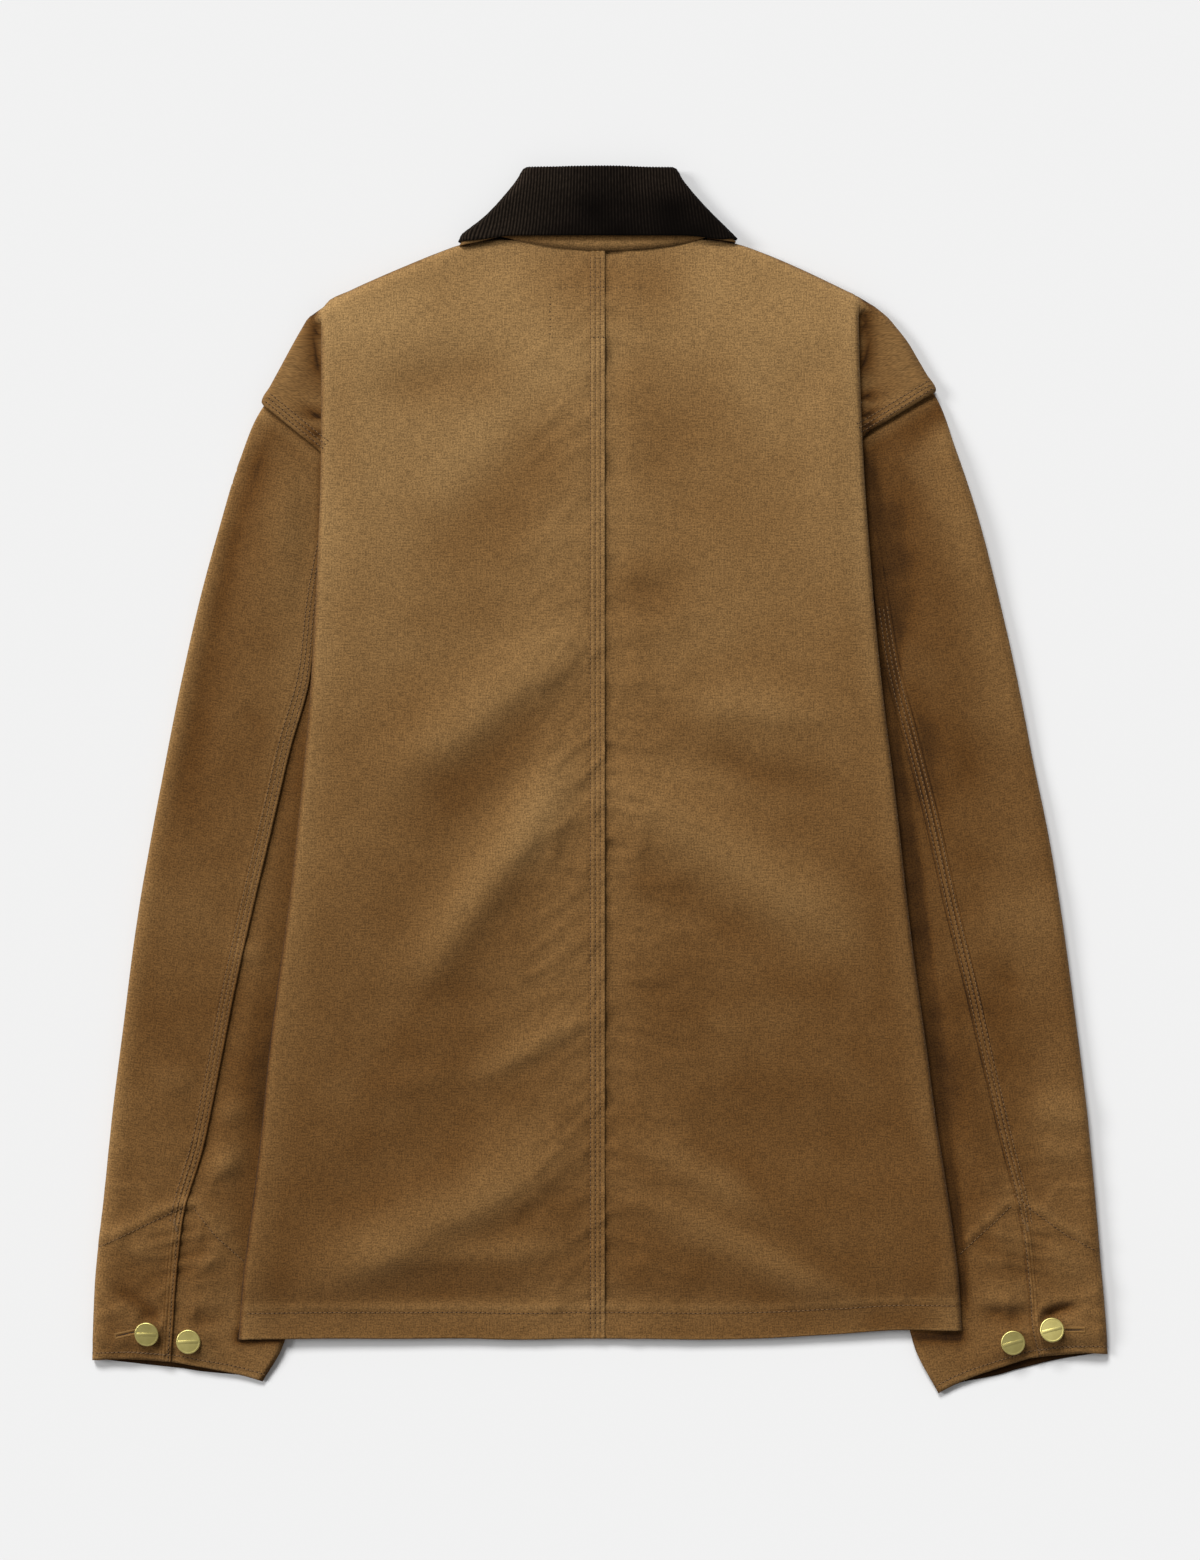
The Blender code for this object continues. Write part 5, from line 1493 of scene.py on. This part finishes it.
sewCentre()
sewHem()
sewArmholes()
for side in ("left", "right"):
    sewSleeve(side)
collarRow = [(x, stripEdge(x) + 2.2) for x in np.linspace(-62, 68, 40)]
stitch("stitchesCollarStrip", [collarRow], ["collarUnder"], **thread["edge"])
print("seams sewn")


buttonhole = {
    "slit": 0.8,
    "bead": 0.9,
    "barReach": 1.6,  # of the bars at its ends, times the distance from the slit to the bead
    "steps": 14,
    "Bead": {"pitch": 0.62, "length": 1.9, "radius": 0.36},
    "Bars": {"pitch": 0.6, "length": 1.6, "radius": 0.27},
}
buttonholes = {"left": [(-325.7, -374), (-311.2, -370.6)], "right": [(311.6, -369.6), (325.9, -369.6)]}


def makeButtonhole(side):
    name, onto = f"buttonhole{side.title()}", [f"sleeve{side.title()}Top"]
    corners = buttonholes[side]
    (ax, ay), (bx, by) = corners
    length = math.hypot(bx - ax, by - ay)
    dx, dy = (bx - ax) / length, (by - ay) / length
    offset = buttonhole["slit"] / 2 + buttonhole["bead"]
    reach = offset * buttonhole["barReach"]
    lips = [[(x - dy * s * offset, y + dx * s * offset) for x, y in corners] for s in (-1, 1)]
    ends = [[(x - dy * reach, y + dx * reach), (x + dy * reach, y - dx * reach)] for x, y in corners]
    for part, paths in (("Bead", lips), ("Bars", ends)):
        stitch(name + part, paths, onto, turned=True, holes=False, finish="buttonholeThread",
               **buttonhole[part])
    # the slit: a dark strip of painted shade along the cut
    trees = treesOf(onto)
    points = []
    steps = buttonhole["steps"]
    for i in range(steps + 1):
        t = i / steps
        wide = buttonhole["slit"] / 2 * math.sin(math.pi * min(max(t, 0.02), 0.98)) ** 0.5
        point, _ = land(trees, ax + (bx - ax) * t, ay + (by - ay) * t)
        points += [point + Vector((-dy * s * wide, dx * s * wide, rise)) * mm
                   for s, rise in ((-1, -0.3), (-1, 0.06), (1, 0.06), (1, -0.3))]
    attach(meshObject(f"{name}SlitShade", points, tubeFaces(steps + 1, 4), "hole", smooth=False), "root")


button = {
    "diameter": 16.4,
    "bar": (13.6, 2.3, 0.16),  # length, width and height of the raised bar across the cap
    "seat": 0.5,  # above the cloth
    "height": 3.1,
    "steps": 72,
}
# its profile: how far out from the middle, or for the rim how far in from it, and how far below the top
capMiddle = [(2.0, 0.07), (4.0, 0.1)]
capRim = [(1.5, 0.14), (1.1, 0.16), (0.96, 0.13), (0.8, 0.1), (0.6, 0.12), (0.36, 0.22), (0.12, 0.46),
          (0, 0.85), (0.1, 1.3), (0.5, 1.6), (1.6, 1.8)]
shank = [(3.2, 1.9), (2.6, 2.2)]
shankEnd = (2.5, -0.6)  # radius, and height from the seat
# x, y, how far its bar is turned in degrees, and the node that each one stands for
buttons = {
    "buttonLeftFastened": (-304.2, -371.7, 0, "button_left_fastened"),
    "buttonLeftSpare": (-276.5, -377.3, 2, "button_left_spare"),
    "buttonRightSpare": (277.4, -377.9, 16, "button_right_spare"),
    "buttonRightFastened": (303.3, -369.4, 14, "button_right_fastened"),
}


def lathe(profile, sides):
    # a closed body from (radius, height) points, the first and the last of them on its axis
    corners = circle(sides)
    points = [(0, 0, profile[0][1])]
    points += [(r * c, r * s, z) for r, z in profile[1:-1] for c, s in corners] + [(0, 0, profile[-1][1])]
    ends = [(k, (k + 1) % sides) for k in range(sides)]
    faces = [(0, 1 + k, 1 + after) for k, after in ends]
    for base in range(1, len(points) - 1 - sides, sides):
        faces += [(base + k, base + sides + k, base + sides + after, base + after) for k, after in ends]
    base, last = len(points) - 1 - sides, len(points) - 1
    return points, faces + [(base + k, last, base + after) for k, after in ends]


def makeButton(name, x, y, turned, node):
    # a stamped cap with a flat rim and a plain raised bar, closed onto a narrower back and shank
    r, top = button["diameter"] / 2, button["height"]
    profile = [(0, top - 0.06)] + [(out, top - drop) for out, drop in capMiddle]
    profile += [(r - inset, top - drop) for inset, drop in capRim]
    profile += [(out, top - drop) for out, drop in shank]
    points, faces = lathe(profile + [shankEnd, (0, shankEnd[1])], button["steps"])
    long, wide, tall = button["bar"]
    c, s = math.cos(math.radians(turned)), math.sin(math.radians(turned))
    faces += [tuple(len(points) + i for i in face) for face in tubeFaces(3, 4)]
    for rise, trim in ((top - 0.5, 0.0), (top + tall - 0.12, 0.0), (top + tall - 0.06, 0.12)):
        for sx, sy in ((-1, -1), (1, -1), (1, 1), (-1, 1)):
            px, py = sx * (long / 2 - trim), sy * (wide / 2 - trim)
            points.append((px * c - py * s, px * s + py * c, rise))
    side = "Left" if x < 0 else "Right"
    point, normal = land(treesOf([f"sleeve{side}Top", f"sleeve{side}Under"]), x, y)
    up = Vector((0, 0, 1))
    made = meshObject(name, [Vector(p) * mm for p in points], faces, "brass")
    made.location = point + up * (button["seat"] * mm)
    made.rotation_euler = up.rotation_difference((normal + up * 2).normalized()).to_euler()
    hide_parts(node)
    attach(made, "root")


for side in ("left", "right"):
    makeButtonhole(side)
for name, (x, y, turned, node) in buttons.items():
    makeButton(name, x, y, turned, node)
print("buttons fastened")


studio = {
    "floorSize": 8.0,
    "floorDrop": 0.0002,
    "floorShade": "#e2e2e2",
    "sky": 0.24,
    # two soft boxes, each given by where it stands, its strength and how many degrees across it looks
    "lamps": {"key": ((-0.35, 1.0, 0.92), 3.05, 20.0), "side": ((-1.0, 0.25, 0.7), 1.6, 22.0)},
    "lens": 85.0,
    "viewHeight": 1.053,  # metres of the scene from the bottom of the picture to the top
}


def makeStudio():
    collection = bpy.context.scene.collection
    mesh = bpy.data.meshes.new("floor")
    half = studio["floorSize"] / 2
    corners = [(-half, -half, 0), (half, -half, 0), (half, half, 0), (-half, half, 0)]
    mesh.from_pydata(corners, [], [(0, 1, 2, 3)])
    floor = bpy.data.objects.new("floor", mesh)
    floor.location.z = -studio["floorDrop"]
    collection.objects.link(floor)
    made, tree = newMaterial("paperSweep")
    matt = addNode(tree, "ShaderNodeBsdfDiffuse", Color=(*linear(studio["floorShade"]), 1))
    addNode(tree, "ShaderNodeOutputMaterial", Surface=matt.outputs[0])
    mesh.materials.append(made)
    world = bpy.data.worlds.new("studioRoom")
    bpy.context.scene.world = world
    world.use_nodes = True
    world.node_tree.nodes["Background"].inputs["Color"].default_value = (1, 1, 1, 1)
    world.node_tree.nodes["Background"].inputs["Strength"].default_value = studio["sky"]
    for name, (place, strength, spread) in studio["lamps"].items():
        lamp = bpy.data.lights.new(f"{name}Light", "SUN")
        lamp.energy = strength
        lamp.angle = math.radians(spread)
        light = bpy.data.objects.new(f"{name}Light", lamp)
        light.location = Vector(place) * 2
        light.rotation_euler = (-Vector(place)).to_track_quat("-Z", "Y").to_euler()
        collection.objects.link(light)
    lens = bpy.data.cameras.new("camera")
    lens.lens = studio["lens"]
    camera = bpy.data.objects.new("camera", lens)
    camera.location = (0, 0, studio["viewHeight"] * lens.lens / lens.sensor_width)
    collection.objects.link(camera)
    bpy.context.scene.camera = camera
    bpy.context.scene.view_settings.view_transform = "Standard"


makeStudio()
print("studio set")

bpy.context.view_layer.update()
